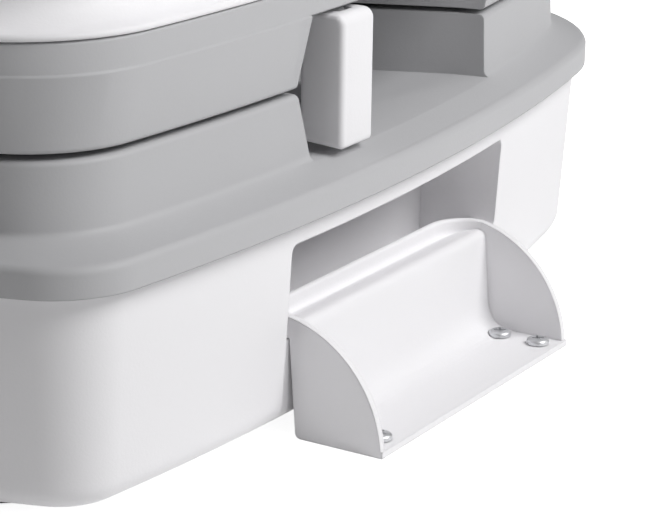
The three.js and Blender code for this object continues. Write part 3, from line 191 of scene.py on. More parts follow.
class StudioSettings(bpy.types.PropertyGroup):
    """Light and camera of the studio."""

    key: bpy.props.FloatProperty(
        name="Key light", description="Power of the large lamp on the right",
        default=11.0, min=0.0, unit="POWER")
    ambient: bpy.props.FloatProperty(
        name="Surrounding light", description="Strength of the light from all round",
        default=0.155, min=0.0, max=1.0, subtype="FACTOR")
    lens: bpy.props.FloatProperty(
        name="Lens", description="Focal length of the camera",
        default=138.49, min=10.0, unit="CAMERA")


# Outlines

def arc(cx, cy, radius, start, end, steps):
    """Points of an arc, without its last one."""
    angles = [start + (end - start) * i / steps for i in range(steps)]
    return [(cx + radius * math.cos(a), cy + radius * math.sin(a)) for a in angles]


def circle(x, y, radius, steps=64):
    return arc(x, y, radius, 0, 2 * math.pi, steps)


def rounded_rectangle(x0, y0, x1, y1, radius, steps=8):
    corners = [(x1 - radius, y0 + radius, -0.5), (x1 - radius, y1 - radius, 0.0),
               (x0 + radius, y1 - radius, 0.5), (x0 + radius, y0 + radius, 1.0)]
    points = []
    for x, y, turn in corners:
        start = turn * math.pi
        points += arc(x, y, radius, start, start + math.pi / 2, steps)
        end = start + math.pi / 2
        points.append((x + radius * math.cos(end), y + radius * math.sin(end)))
    return points


def corner_centre(first, first_radius, second, second_radius, outward):
    """The centre of a corner arc that touches two arcs from inside."""
    span = second - first
    along = (first_radius ** 2 - second_radius ** 2 + span.length ** 2) / (2 * span.length)
    across = math.sqrt(first_radius ** 2 - along ** 2)
    base = first + span.normalized() * along
    normal = Vector((-span.y, span.x)).normalized() * across
    return max((base + normal, base - normal), key=lambda p: p.dot(outward))


def bearing(a, b):
    return math.atan2(b.y - a.y, b.x - a.x)


def outline(inset, front_corner, rear_corner):
    """The bowed plan outline, drawn in by an inset, counterclockwise from the front centre."""
    side_centre = Vector((HALF_WIDTH - SIDE_ARC, SIDE_CREST))
    front_centre = Vector((0, FRONT_ARC - HALF_DEPTH))
    rear_centre = Vector((0, HALF_DEPTH - REAR_ARC))
    side, front, rear = SIDE_ARC - inset, FRONT_ARC - inset, REAR_ARC - inset
    turn_front = corner_centre(front_centre, front - front_corner, side_centre, side - front_corner,
                               Vector((1, -1)))
    turn_rear = corner_centre(rear_centre, rear - rear_corner, side_centre, side - rear_corner,
                              Vector((1, 1)))
    half = (
        arc(*front_centre, front, -math.pi / 2, bearing(front_centre, turn_front), 8)
        + arc(*turn_front, front_corner, bearing(front_centre, turn_front),
              bearing(side_centre, turn_front), 14)
        + arc(*side_centre, side, bearing(side_centre, turn_front), bearing(side_centre, turn_rear),
              20)
        + arc(*turn_rear, rear_corner, bearing(side_centre, turn_rear),
              bearing(rear_centre, turn_rear), 14)
        + arc(*rear_centre, rear, bearing(rear_centre, turn_rear), math.pi / 2, 8)
    )
    return half + [(0.0, HALF_DEPTH - inset)] + [(-x, y) for x, y in reversed(half[1:])]


def egg(half_width, front, rear, centre, fullness=2.0, steps=96):
    """An egg with one half width and its own reach to the front and to the rear."""
    def full(value):
        return math.copysign(abs(value) ** (2 / fullness), value)
    return [(half_width * full(x), centre + (front if y < 0 else rear) * full(y))
            for x, y in arc(0, 0, 1, -math.pi / 2, 1.5 * math.pi, steps)]


def drawn_egg(sizes, inset, fullness=2.0):
    """An egg about the bowl's centre, drawn in by an inset."""
    half_width, front, rear = sizes
    return egg(half_width - inset, front - inset, rear - inset, BOWL_CENTRE, fullness)


def rounded_edge(z, inset, radius, upward, steps=6):
    """Levels (height, inset) that round the edge between a wall and a flat face."""
    levels = []
    for angle in quarter(steps):
        rise, draw = radius * math.sin(angle), radius * (1 - math.cos(angle))
        levels.append((z - radius + rise if upward else z + radius - rise, inset + draw))
    return levels if upward else levels[::-1]


def quarter(steps):
    """Angles from 0 to a quarter turn."""
    return [i / steps * math.pi / 2 for i in range(steps + 1)]


def round_corner(edge, top, radius, steps):
    """Profile points (radius, height) that round the corner between a wall and a flat top."""
    return [(edge - radius * (1 - math.cos(a)), top - radius + radius * math.sin(a))
            for a in quarter(steps)]


# Solids, as temporary objects in metres

def object_of(name, points, faces):
    mesh = bpy.data.meshes.new(name)
    mesh.from_pydata([Vector(p) * MILLIMETRE for p in points], [], faces)
    work = bmesh.new()
    work.from_mesh(mesh)
    bmesh.ops.remove_doubles(work, verts=work.verts, dist=1e-6)
    bmesh.ops.dissolve_degenerate(work, edges=work.edges, dist=1e-7)
    bmesh.ops.recalc_face_normals(work, faces=work.faces)
    work.to_mesh(mesh)
    work.free()
    thing = bpy.data.objects.new(name, mesh)
    bpy.context.scene.collection.objects.link(thing)
    return thing


def loft(rings, closed=False):
    """A solid through rings of equal point count, or a ring-shaped one when closed."""
    count = len(rings[0])
    points = [p for ring in rings for p in ring]
    pairs = [(i, i + 1) for i in range(len(rings) - 1)] + ([(len(rings) - 1, 0)] if closed else [])
    faces = []
    for low, high in pairs:
        for i in range(count):
            j = (i + 1) % count
            faces.append((low * count + i, low * count + j, high * count + j, high * count + i))
    if not closed:
        faces.append(tuple(reversed(range(count))))
        last = (len(rings) - 1) * count
        faces.append(tuple(range(last, last + count)))
    return object_of("solid", points, faces)


def level(points, z):
    return [(x, y, z) for x, y in points]


def prism_z(points, z0, z1):
    return loft([level(points, z0), level(points, z1)])


def prism_x(points, x0, x1):
    return loft([[(x, y, z) for y, z in points] for x in (x0, x1)])


def prism_y(points, y0, y1):
    return loft([[(x, y, z) for x, z in points] for y in (y0, y1)])


def turned(profile, x, y, steps=64):
    """A turned solid about an upright axis, from a profile that closes on itself or on the axis."""
    closed = profile[0] == profile[-1]
    stations = profile[:-1] if closed else profile
    rings = [[(x + max(r, 1e-4) * c, y + max(r, 1e-4) * s, z) for c, s in circle(0, 0, 1, steps)]
             for r, z in stations]
    return loft(rings, closed)


def disc(x, y, radius, z0, z1, steps=64):
    return prism_z(circle(x, y, radius, steps), z0, z1)


def block(x0, y0, z0, x1, y1, z1):
    return prism_z([(x0, y0), (x1, y0), (x1, y1), (x0, y1)], z0, z1)


def mirrored(thing):
    copy = thing.copy()
    copy.data = thing.data.copy()
    copy.data.transform(Matrix.Scale(-1, 4, (1, 0, 0)))
    copy.data.flip_normals()
    bpy.context.scene.collection.objects.link(copy)
    return copy


def settle(thing):
    """Turns an object and its modifiers into a plain mesh."""
    graph = bpy.context.evaluated_depsgraph_get()
    mesh = bpy.data.meshes.new_from_object(thing.evaluated_get(graph), depsgraph=graph)
    thing.modifiers.clear()
    thing.data = mesh
    return thing


def combine(base, *steps):
    """Joins and cuts: each step is an operation and the tool, which is used up."""
    for operation, tool in steps:
        modifier = base.modifiers.new(operation.title(), "BOOLEAN")
        modifier.operation = operation
        modifier.solver = "MANIFOLD"
        modifier.object = tool
    settle(base)
    for _, tool in steps:
        bpy.data.objects.remove(tool)
    return base


def finish_pair(right, name, body, surface):
    """Finishes a piece of the right side and its mirror image; {} in body stands for the side."""
    left = mirrored(right)
    for side, thing in (("right", right), ("left", left)):
        finish(thing, f"{name}_{side}_skin", body.format(side), surface, f"{name}_{side}")


def both_sides(thing):
    return combine(thing, ("UNION", mirrored(thing)))


def finish(thing, name, body, surface, *nodes):
    """Names a piece, smooths its curved faces and hands it to its body."""
    thing.name = name
    thing.data.name = name
    thing.data.materials.clear()
    thing.data.materials.append(MATERIALS[surface])
    thing.data.polygons.foreach_set("material_index", [0] * len(thing.data.polygons))
    thing.data.shade_smooth()
    thing.data.set_sharp_from_angle(angle=math.radians(SHARP_ANGLE))
    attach(thing, body)
    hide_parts(*nodes)
    return thing


# Materials

def node(tree, kind, links=None, **settings):
    """Adds a node with its settings, input values and links."""
    new = tree.nodes.new(kind)
    for key, value in settings.items():
        setattr(new, key, value)
    for socket, source in (links or {}).items():
        if isinstance(source, bpy.types.NodeSocket):
            tree.links.new(source, new.inputs[socket])
        else:
            new.inputs[socket].default_value = source
    return new


def new_material(name):
    """A material with an empty node tree, and that tree."""
    material = bpy.data.materials.new(name)
    material.use_nodes = True
    material.node_tree.nodes.clear()
    return material, material.node_tree


def moulded(name, colour, roughness, grain_depth, grain, edge, mottle=0.02):
    """A moulded plastic: even colour with a faint flow mottle, fine grain and softened edges."""
    material, tree = new_material(name)
    place = node(tree, "ShaderNodeTexCoord").outputs["Object"]
    # Flow marks about 70 mm long, and a grain of the given spacing
    flow = node(tree, "ShaderNodeTexNoise", {"Vector": place, "Scale": 14.0, "Detail": 2.0})
    tone = node(tree, "ShaderNodeMapRange", {
        "Value": flow.outputs["Fac"], "From Min": 0.3, "From Max": 0.7,
        "To Min": 1 - mottle, "To Max": 1.0})
    shade = node(tree, "ShaderNodeMixRGB", {
        "Fac": 1.0, "Color1": colour, "Color2": tone.outputs["Result"]}, blend_type="MULTIPLY")
    speckle = node(tree, "ShaderNodeTexNoise", {
        "Vector": place, "Scale": 1 / grain, "Detail": 3.0, "Roughness": 0.6})
    gloss = node(tree, "ShaderNodeMapRange", {
        "Value": speckle.outputs["Fac"], "From Min": 0.3, "From Max": 0.7,
        "To Min": roughness - 0.04, "To Max": roughness + 0.05})
    soft = node(tree, "ShaderNodeBevel", {"Radius": edge}, samples=4)
    bump = node(tree, "ShaderNodeBump", {
        "Height": speckle.outputs["Fac"], "Normal": soft.outputs["Normal"],
        "Strength": 0.35, "Distance": grain_depth})
    shader = node(tree, "ShaderNodeBsdfPrincipled", {
        "Base Color": shade.outputs["Color"], "Roughness": gloss.outputs["Result"],
        "Normal": bump.outputs["Normal"], "IOR": 1.5})
    node(tree, "ShaderNodeOutputMaterial", {"Surface": shader.outputs["BSDF"]})
    return material


def rubber_material():
    """Moulded nitrile rubber: near black and dull, with a dusty bloom in patches."""
    material, tree = new_material("moulded_nitrile_rubber")
    place = node(tree, "ShaderNodeTexCoord").outputs["Object"]
    # Patches of bloom about 17 mm across
    bloom = node(tree, "ShaderNodeTexNoise", {"Vector": place, "Scale": 60.0, "Detail": 4.0})
    ramp = node(tree, "ShaderNodeValToRGB", {"Fac": bloom.outputs["Fac"]})
    ramp.color_ramp.elements[0].color = linear("#1E1F21")
    ramp.color_ramp.elements[0].position = 0.35
    ramp.color_ramp.elements[1].color = linear("#34363A")
    ramp.color_ramp.elements[1].position = 0.75
    bump = node(tree, "ShaderNodeBump", {
        "Height": bloom.outputs["Fac"], "Strength": 0.3, "Distance": 0.0001})
    shader = node(tree, "ShaderNodeBsdfPrincipled", {
        "Base Color": ramp.outputs["Color"], "Roughness": 0.78,
        "Normal": bump.outputs["Normal"], "IOR": 1.52})
    node(tree, "ShaderNodeOutputMaterial", {"Surface": shader.outputs["BSDF"]})
    return material


def steel_material():
    """Cold-headed stainless steel: a soft shine on a finely dimpled skin."""
    material, tree = new_material("cold_headed_stainless_steel")
    place = node(tree, "ShaderNodeTexCoord").outputs["Object"]
    # The die's marks are finer than this in truth: 0.6 mm is what shows in a render
    marks = node(tree, "ShaderNodeTexNoise", {"Vector": place, "Scale": 1800.0, "Detail": 3.0})
    gloss = node(tree, "ShaderNodeMapRange", {
        "Value": marks.outputs["Fac"], "From Min": 0.3, "From Max": 0.7,
        "To Min": 0.42, "To Max": 0.55})
    bump = node(tree, "ShaderNodeBump", {
        "Height": marks.outputs["Fac"], "Strength": 0.2, "Distance": 0.00005})
    shader = node(tree, "ShaderNodeBsdfPrincipled", {
        "Base Color": linear("#D9DADC"), "Metallic": 1.0,
        "Roughness": gloss.outputs["Result"], "Normal": bump.outputs["Normal"]})
    node(tree, "ShaderNodeOutputMaterial", {"Surface": shader.outputs["BSDF"]})
    return material


def clear_material():
    """Injection-moulded clear SAN: see-through, faintly blue, with a slight swirl."""
    material, tree = new_material("moulded_clear_san")
    place = node(tree, "ShaderNodeTexCoord").outputs["Object"]
    # The swirl is about 25 mm across
    flow = node(tree, "ShaderNodeTexNoise", {"Vector": place, "Scale": 40.0, "Detail": 2.0})
    bump = node(tree, "ShaderNodeBump", {
        "Height": flow.outputs["Fac"], "Strength": 0.2, "Distance": 0.0002})
    shader = node(tree, "ShaderNodeBsdfPrincipled", {
        "Base Color": linear("#DCE6EA"), "Roughness": 0.08, "IOR": 1.57,
        "Transmission Weight": 0.75, "Normal": bump.outputs["Normal"]})
    node(tree, "ShaderNodeOutputMaterial", {"Surface": shader.outputs["BSDF"]})
    return material


MATERIALS = {}


def prepare_materials(scene):
    colours, sizes = scene.toilet_colours, scene.toilet_sizes
    grain, edge = sizes.grain, sizes.edge_radius
    # Blow-moulded polyethylene: satin, with soft edges and a slight orange peel
    MATERIALS["white"] = moulded("blow_moulded_white_polyethylene", tuple(colours.white), 0.56,
                                 0.00012, grain, edge)
    MATERIALS["grey"] = moulded("blow_moulded_grey_polyethylene", tuple(colours.grey), 0.55,
                                0.00012, grain, edge, 0.03)
    # Injection-moulded ABS: a little glossier and finer than the tanks
    MATERIALS["seat"] = moulded("moulded_white_abs", tuple(colours.white), 0.3,
                                0.00005, grain, edge)
    MATERIALS["dark"] = moulded("moulded_dark_grey_abs", tuple(colours.dark), 0.4,
                                0.0001, grain, edge * 0.6, 0.06)
    MATERIALS["rubber"] = rubber_material()
    MATERIALS["steel"] = steel_material()
    MATERIALS["clear"] = clear_material()


# Tank shells

def tank_inset(z):
    return 3.8 + (FLANGE - z) * 0.061


def tank_body(draw, bottom, top, radius):
    levels = rounded_edge(bottom, tank_inset(bottom + radius) + draw, radius - draw, False, 10)
    levels.append((top, tank_inset(top) + draw))
    return loft([level(outline(i, FRONT_CORNER - i, REAR_CORNER - i), z) for z, i in levels])


def finger_pocket(grow):
    """The finger pocket in the +X side, grown to give the block that holds its walls."""
    def room(low, high, inner, outer):
        side = rounded_rectangle(POCKET_FRONT - grow, low, POCKET_REAR + grow, high, 2.5 + grow)
        return prism_x(side, inner, outer)

    roof, back = POCKET_TOP + grow, POCKET_BACK - grow
    shallow = room(-6, roof, LEDGE_INSIDE - grow, HALF_WIDTH + 3)
    deep = room(POCKET_LEDGE - grow, roof, back, LEDGE_INSIDE + OVERRUN)
    well = room(18 - grow, 40, back, 145.5 + grow)
    return combine(shallow, ("UNION", deep), ("UNION", well))


def make_tank_lower(wall):
    body = tank_body(0, TANK_BOTTOM, FLANGE - FIT, 8)
    inside = tank_body(wall, TANK_BOTTOM + wall, FLANGE + OVERRUN, 8)
    walls = both_sides(finger_pocket(wall))
    walls = combine(walls, ("INTERSECT", tank_body(0, TANK_BOTTOM, FLANGE - FIT, 8)))
    return combine(body, ("DIFFERENCE", inside), ("UNION", walls),
                   ("DIFFERENCE", both_sides(finger_pocket(0))))


def lower_ring(z, inset):
    corner = FRONT_CORNER + (SEAM_CORNER - FRONT_CORNER) * inset / SEAM_INSET
    return level(outline(inset, corner, REAR_CORNER - inset), z)


def recess_plan(front, shift, grow):
    """Plan of a side recess: a straight front wall, and a rear wall that turns outwards."""
    reach = HALF_WIDTH + OVERRUN
    reach_y = 65.2 + 0.2 * (reach - 147.5)
    return [(104 - grow, front - grow), (reach, front - grow), (reach, reach_y + shift + grow),
            (138, 63.3 + shift + grow), (104 - grow, 49 + shift + grow)]


def side_recess(z0, z1, front0, front1, shift0, shift1, grow):
    return loft([level(recess_plan(front0, shift0, grow), z0),
                 level(recess_plan(front1, shift1, grow), z1)])


def lower_side_recess(grow):
    return side_recess(DECK - grow, SEAM_LOW + OVERRUN, -51.0, -56.5, -1.5, 0.0, grow)


def upper_side_recess(grow):
    return side_recess(SEAM_HIGH - OVERRUN, RECESS_ROOF + grow, -56.5, -54.5, 0.0, 1.5, grow)


def rear_recess(z0, z1, grow):
    return prism_z(rounded_rectangle(-108 - grow, 124 - grow, 80 + grow, HALF_DEPTH + 12, 10), z0,
                   z1)


def front_recess(z0, z1, grow):
    return prism_z(rounded_rectangle(-61 - grow, -HALF_DEPTH - 12, 61 + grow, -140 + grow, 5), z0,
                   z1)


def valve_pocket(z0, z1, grow):
    return prism_z(rounded_rectangle(-64 - grow, -140 - grow, 64 + grow, 64 + grow, 8), z0, z1)


def latch_catch():
    middle = LATCH_FRONT + LATCH_WIDTH / 2
    lip = 88.5
    profile = [(126, 75.5), (130, 75.5), (130, lip), (141, lip), (141, lip + 2), (139, lip + 4),
               (126, lip + 4)]
    return prism_y(profile, middle - 7, middle + 7)


def make_tank_upper(wall):
    outside = ([(FLANGE, 0.0)] + rounded_edge(RIDGE, 0, 2.4, True, 8)
               + [(76.2, 8.9), (76.7, 10.2), (77.2, 11.2), (77.9, 12.0), (78.8, 12.35)]
               + rounded_edge(SEAM_LOW, SEAM_INSET, 1.6, True, 8))
    inside = [(FLANGE - OVERRUN, wall), (RIDGE - wall, wall), (DECK - wall, DECK_INSET + wall),
              (SEAM_LOW - wall, SEAM_INSET + wall)]
    high = SEAM_LOW + OVERRUN
    body = loft([lower_ring(z, i) for z, i in outside])
    walls = combine(
        both_sides(lower_side_recess(wall)),
        ("UNION", rear_recess(DECK - wall, high, wall)),
        ("UNION", front_recess(79 - wall, high, wall)),
        ("UNION", valve_pocket(83.7 - wall, high, wall + FIT)),
        ("INTERSECT", loft([lower_ring(z, i) for z, i in outside])),
    )
    return combine(
        body,
        ("DIFFERENCE", loft([lower_ring(z, i) for z, i in inside])),
        ("UNION", walls),
        ("DIFFERENCE", both_sides(lower_side_recess(0))),
        ("DIFFERENCE", rear_recess(DECK, high, 0)),
        ("DIFFERENCE", front_recess(79, high, 0)),
        ("DIFFERENCE", valve_pocket(83.7, high, FIT)),
        ("UNION", both_sides(latch_catch())),
        ("UNION", disc(SPOUT[0], SPOUT[1], 23, 75.5, 80.4)),
        ("DIFFERENCE", disc(0, 0, 46, DECK - wall, SEAM_LOW)),
        ("DIFFERENCE", disc(SPOUT[0], SPOUT[1], 18.3, 70, 90)),
        ("DIFFERENCE", disc(*VENT, 4.8, 70, 90, 32)),
    )


def upper_ring(draw):
    def ring(z, inset):
        share = min(max((z - 97.4) / (SKIRT - 97.4), 0), 1)
        corner = SEAM_CORNER + (SHELL_CORNER - SEAM_CORNER) * share
        return level(outline(inset + draw, corner - draw, REAR_CORNER - SEAM_INSET - draw), z)
    return ring


def latch_ear():
    x, z = LATCH_PIVOT
    middle = LATCH_FRONT + LATCH_WIDTH / 2
    profile = (arc(x, z, 4.5, math.pi, 2 * math.pi, 16)
               + [(x + 4.5, z), (x - 1, z + 7.5), (x - 1, RECESS_ROOF + 1.5),
                  (x - 4.5, RECESS_ROOF + 1.5)])
    ear = prism_y(profile, middle - 3, middle + 3)
    return combine(ear, ("DIFFERENCE", prism_y(circle(x, z, PIN_BORE, 24), middle - 5, middle + 5)))


def make_flush_lower(wall):
    outside = (rounded_edge(SEAM_HIGH, SEAM_INSET, 1.6, False, 8)
               + [(STEP - 0.3, STEP_INSET), (STEP, STEP_INSET + 0.1),
                  (STEP + 0.4, STEP_INSET + 0.5)]
               + rounded_edge(SKIRT, 10.9, 0.8, True, 6))
    inside = [(SEAM_HIGH + wall, SEAM_INSET), (STEP, STEP_INSET), (SKIRT + OVERRUN, 10.9)]
    low = SEAM_HIGH - OVERRUN
    body = loft([upper_ring(0)(z, i) for z, i in outside])
    walls = combine(
        both_sides(upper_side_recess(wall)),
        ("UNION", rear_recess(low, 123 + wall, wall)),
        ("UNION", front_recess(low, 115 + wall, wall)),
        ("INTERSECT", loft([upper_ring(0)(z, i) for z, i in outside])),
    )
    pads = [("UNION", disc(x * 84, y * 70, 8, SEAM_LOW + FIT, SEAM_HIGH + 1.5, 32))
            for x in (-1, 1) for y in (-1, 1)]
    return combine(
        body,
        ("DIFFERENCE", loft([upper_ring(wall)(z, i) for z, i in inside])),
        ("UNION", walls),
        ("DIFFERENCE", both_sides(upper_side_recess(0))),
        ("DIFFERENCE", rear_recess(low, 123, 0)),
        ("DIFFERENCE", front_recess(low, 115, 0)),
        ("DIFFERENCE", disc(0, 0, 49.6, low, SEAM_HIGH + 6)),
        ("UNION", both_sides(latch_ear())),
        *pads,
    )


def flush_upper_levels():
    """The white shell's outer surface, from its flared skirt up to the rounded top edge."""
    foot = SKIRT + FIT
    shoulder = foot + 1.9
    levels = rounded_edge(foot, 10.5, 0.7, False, 6) + rounded_edge(shoulder, 10.5, 1.2, True,
                                                                    6)[1:]
    for angle in quarter(10)[1:]:
        levels.append((shoulder + 8 * (1 - math.cos(angle)),
                       WAIST_INSET - 8 * (1 - math.sin(angle))))
    levels.append((155.0, WAIST_INSET))
    for i in range(9):
        share = i / 8
        levels.append((172 + 90 * share, WAIST_INSET - 13 * share ** 1.74))
    return levels + rounded_edge(TOP, 7, 3.6, True, 8)


def flush_upper_hollow():
    levels = [(SKIRT - OVERRUN, WAIST_INSET), (172, WAIST_INSET), (217, 17.6), (262, 8.5),
              (TOP - 3, 8.8)]
    return loft([upper_ring(3)(z, i) for z, i in levels])


def knuckle(x0, x1, foot0, foot1, z):
    profile = ([(foot0, z), (foot1, z)] + arc(HINGE_Y, HINGE_Z, HINGE_RADIUS, 0, math.pi, 24)
               + [(HINGE_Y - HINGE_RADIUS, HINGE_Z)])
    return prism_x(profile, x0, x1)


def hinge_bore():
    return prism_x(circle(HINGE_Y, HINGE_Z, HINGE_BORE, 32), -HALF_WIDTH, HALF_WIDTH)


def window_plan(grow):
    return rounded_rectangle(86 - grow, 170.1 - grow, 98 + grow, 245.9 + grow, 5.85 + grow, 10)


def make_flush_upper():
    body = loft([upper_ring(0)(z, i) for z, i in flush_upper_levels()])
    return combine(
        body,
        ("DIFFERENCE", flush_upper_hollow()),
        ("DIFFERENCE", prism_z(egg(113.3, 111.3, 127.3, BOWL_CENTRE), TOP - 6, TOP + 2)),
        ("DIFFERENCE", disc(-FITTING_X, FITTING_Y, 25.3, TOP - 6, TOP + 2)),
        ("DIFFERENCE", disc(FITTING_X, FITTING_Y, 26.2, TOP - 6, TOP + 2)),
        ("DIFFERENCE", prism_y(window_plan(FIT), -HALF_DEPTH, -145)),
        ("UNION",
         both_sides(knuckle(53, 63, HINGE_Y - HINGE_RADIUS, HINGE_Y + HINGE_RADIUS, TOP - 1.5))),
        ("DIFFERENCE", hinge_bore()),
    )


def make_window():
    body = loft([upper_ring(0)(z, i) for z, i in flush_upper_levels()])
    return combine(body, ("INTERSECT", prism_y(window_plan(0), -HALF_DEPTH, -145)),
                   ("DIFFERENCE", flush_upper_hollow()))


# Bowl, seat and lid

def funnel(grow, z0, z1):
    low = 109.2
    rings = [level(egg(43 + grow, 43 + grow, 43 + grow, 0), z0)]
    for i in range(25):
        share = i / 24
        bulge = share + (1 - (1 - share) ** 2 - share) * 0.55
        z = z1 if i == 24 else low + (TOP - low) * share
        rings.append(level(egg(43 + 67 * bulge + grow, 43 + 65 * bulge + grow,
                               43 + 81 * bulge + grow, BOWL_CENTRE * bulge), z))
    return loft(rings)


def make_bowl():
    rim_top = TOP + FIT + 2.5
    rim = loft([level(drawn_egg(RIM_EGG, d), z)
                for z, d in [(TOP + FIT, 0.0)] + rounded_edge(rim_top, 0, 1.2, True, 5)])
    return combine(
        funnel(2.6, 97.2, rim_top),
        ("UNION", rim),
        ("DIFFERENCE", funnel(0, 95.2, rim_top + 2)),
        ("DIFFERENCE", prism_y(circle(0, 256, 8.3, 32), 0, HINGE_Y)),
    )


def seat_egg(inset):
    return drawn_egg(SEAT_EGG, inset, SEAT_FULLNESS)


def hinge_arm(x0, z0, z1):
    foot = block(x0, HINGE_Y - 26, z0, x0 + 10, 154, z1)
    round_end = prism_x(circle(HINGE_Y, HINGE_Z, HINGE_RADIUS, 48), x0, x0 + 10)
    web = prism_x([(143, z0), (154, z0), (HINGE_Y, HINGE_Z - HINGE_RADIUS), (HINGE_Y, HINGE_Z),
                   (143, z1)],
                  x0, x0 + 10)
    return combine(foot, ("UNION", round_end), ("UNION", web))


def make_seat():
    outer = loft([level(seat_egg(i), z) for z, i in rounded_edge(SEAT_BOTTOM, 0, 2.5, False, 6)
                  + rounded_edge(SEAT_TOP, 0, 5, True, 10)])
    edge = [(SEAT_TOP - 5 + 5 * math.sin(a), 5 * (1 - math.cos(a)))
            for a in quarter(10)]
    hole = loft([level(drawn_egg(OPENING_EGG, -d), z)
                 for z, d in [(SEAT_BOTTOM - 2, 0.0)] + edge + [(SEAT_TOP + 2, 7.0)]])
    tongue = block(-52, 83, SEAT_BOTTOM + FIT, 52, 154, SEAT_TOP - FIT)
    return combine(outer, ("UNION", tongue), ("DIFFERENCE", hole),
                   ("UNION", both_sides(hinge_arm(42, SEAT_BOTTOM + FIT, SEAT_TOP - FIT))),
                   ("DIFFERENCE", hinge_bore()))


def lid_egg(inset):
    return drawn_egg(LID_EGG, inset, SEAT_FULLNESS)


def lid_levels(draw):
    shoulder = LID_BOTTOM + 9
    rise = LID_TOP - shoulder
    levels = [(LID_BOTTOM - (OVERRUN if draw else 0), draw), (shoulder - draw, draw)]
    for angle in quarter(14)[1:]:
        levels.append((shoulder - draw + rise * math.sin(angle), draw + 62 * (1 - math.cos(angle))))
    return levels


def make_lid():
    top = LID_BOTTOM + 9
    arms = combine(both_sides(hinge_arm(31, LID_BOTTOM, top)),
                   ("DIFFERENCE", loft([level(lid_egg(i), z) for z, i in lid_levels(LID_WALL)])))
    return combine(
        loft([level(lid_egg(i), z) for z, i in lid_levels(0)]),
        ("UNION", block(-41, 103, LID_BOTTOM, 41, 154, top)),
        ("DIFFERENCE", loft([level(lid_egg(i), z) for z, i in lid_levels(LID_WALL)])),
        ("DIFFERENCE", block(-31, 100, LID_BOTTOM - 2, 31, 151.4, top - LID_WALL)),
        ("UNION", arms),
        ("DIFFERENCE", hinge_bore()),
    )


# Brackets, screws and latches

def curve_points(start, control, end, steps=8):
    """Points after the start of a curve with one control point."""
    points = []
    for i in range(1, steps + 1):
        t = i / steps
        points.append(tuple((1 - t) ** 2 * a + 2 * t * (1 - t) * b + t * t * c
                            for a, b, c in zip(start, control, end)))
    return points


def bracket_profile():
    """Side profile of the bracket without its rim: floor plate, leaning wall and crown."""
    foot, head, head_z = 162.8, 160.6, 29.6
    lean = (foot - head) / (head_z - PLATE_TOP)
    path = [(162.5, 0), (PLATE_EDGE, 0), (PLATE_EDGE, PLATE_TOP), (foot + 9, PLATE_TOP)]
    path += curve_points(path[-1], (foot, PLATE_TOP), (foot - lean * 9, 11))
    path.append((head, head_z))
    path += curve_points(path[-1], (head, WEB_TOP), (head - 3.0, WEB_TOP))
    path += curve_points(path[-1], (154.6, WEB_TOP - 0.3), (GUTTER_X, GUTTER), 8)
    path += [(GUTTER_X, WEB_LOW), (158.3, WEB_LOW), (160.5, 2)]
    return path + curve_points(path[-1], (160.5, 0), (162.5, 0), 6)[:-1]


def gusset_arc(x, end, steps=24):
    """The top of the gussets and the rim, from a given x up and over to the crest."""
    cx, cz, radius = GUSSET_ARC
    start = math.acos((x - cx) / radius)
    return arc(cx, cz, radius, start, end, steps)


def lip_plan(inset, fillet=0.0):
    rear = BRACKET_FRONT + BRACKET_LENGTH
    return rounded_rectangle(LIP_OUTSIDE + inset + fillet, BRACKET_FRONT + inset, 203.2,
                             rear - inset,
                             14 - inset - fillet * 0.5, 16)


def bracket_rim():
    """The turned-up rim, hollowed so that its inner side sweeps down into the web all round."""
    outside = [(WEB_LOW + 1.2 - 1.2 * math.sin(a), 1.2 - 1.2 * math.cos(a))
               for a in [math.pi / 2 * (1 - i / 5) for i in range(6)]]
    outside += rounded_edge(LIP_TOP, 0, 1.1, True, 8)
    reach = GUTTER_X - LIP_OUTSIDE - BRACKET_WALL
    fillet = curve_points((GUTTER, reach), (GUTTER, 0.0), (GUTTER + reach * 1.4, 0.0), 14)
    fillet = [(GUTTER, reach)] + fillet + [(35.3, 0.0)]
    hollow = [level(lip_plan(BRACKET_WALL, extra), z) for z, extra in fillet]
    hollow += [level(lip_plan(BRACKET_WALL - 1 + math.cos(a)), 35.3 + math.sin(a))
               for a in quarter(6)[1:]]
    hollow.append(level(lip_plan(BRACKET_WALL - 1), LIP_TOP + 2))
    crest = GUSSET_ARC[1] + GUSSET_ARC[2]
    side = ([(LIP_OUTSIDE - 2, WEB_LOW - 1), (158.4, WEB_LOW - 1)] + gusset_arc(158.4, math.pi / 2)
            + [(GUSSET_ARC[0], crest), (LIP_OUTSIDE - 2, crest)])
    return combine(
        loft([level(lip_plan(i), z) for z, i in outside]),
        ("DIFFERENCE", loft(hollow)),
        ("INTERSECT", prism_y(side, BRACKET_FRONT - 1, BRACKET_FRONT + BRACKET_LENGTH + 1)),
    )


def bracket_gusset(y0):
    cx, cz, radius = GUSSET_ARC
    start = math.asin((1 - cz) / radius)
    end = math.acos((157.4 - cx) / radius)
    profile = ([(160.5, 2), (162.5, 0), (cx + radius * math.cos(start), 0)]
               + arc(cx, cz, radius, start, end, 32)
               + [(157.4, cz + radius * math.sin(end)), (157.4, WEB_LOW), (158.3, WEB_LOW)])
    return prism_y(profile, y0, y0 + BRACKET_WALL)


def make_bracket():
    rear = BRACKET_FRONT + BRACKET_LENGTH
    holes = []
    for x, y in SCREW_PLACES:
        holes.append(("DIFFERENCE", disc(x, y, 2.4, -2, 5, 24)))
        holes.append(("DIFFERENCE", disc(x, y, 3.8, 2, 9, 40)))
    return combine(
        prism_y(bracket_profile(), BRACKET_FRONT, rear),
        ("UNION", bracket_rim()),
        ("UNION", bracket_gusset(BRACKET_FRONT)),
        ("UNION", bracket_gusset(rear - BRACKET_WALL)),
        *holes,
    )


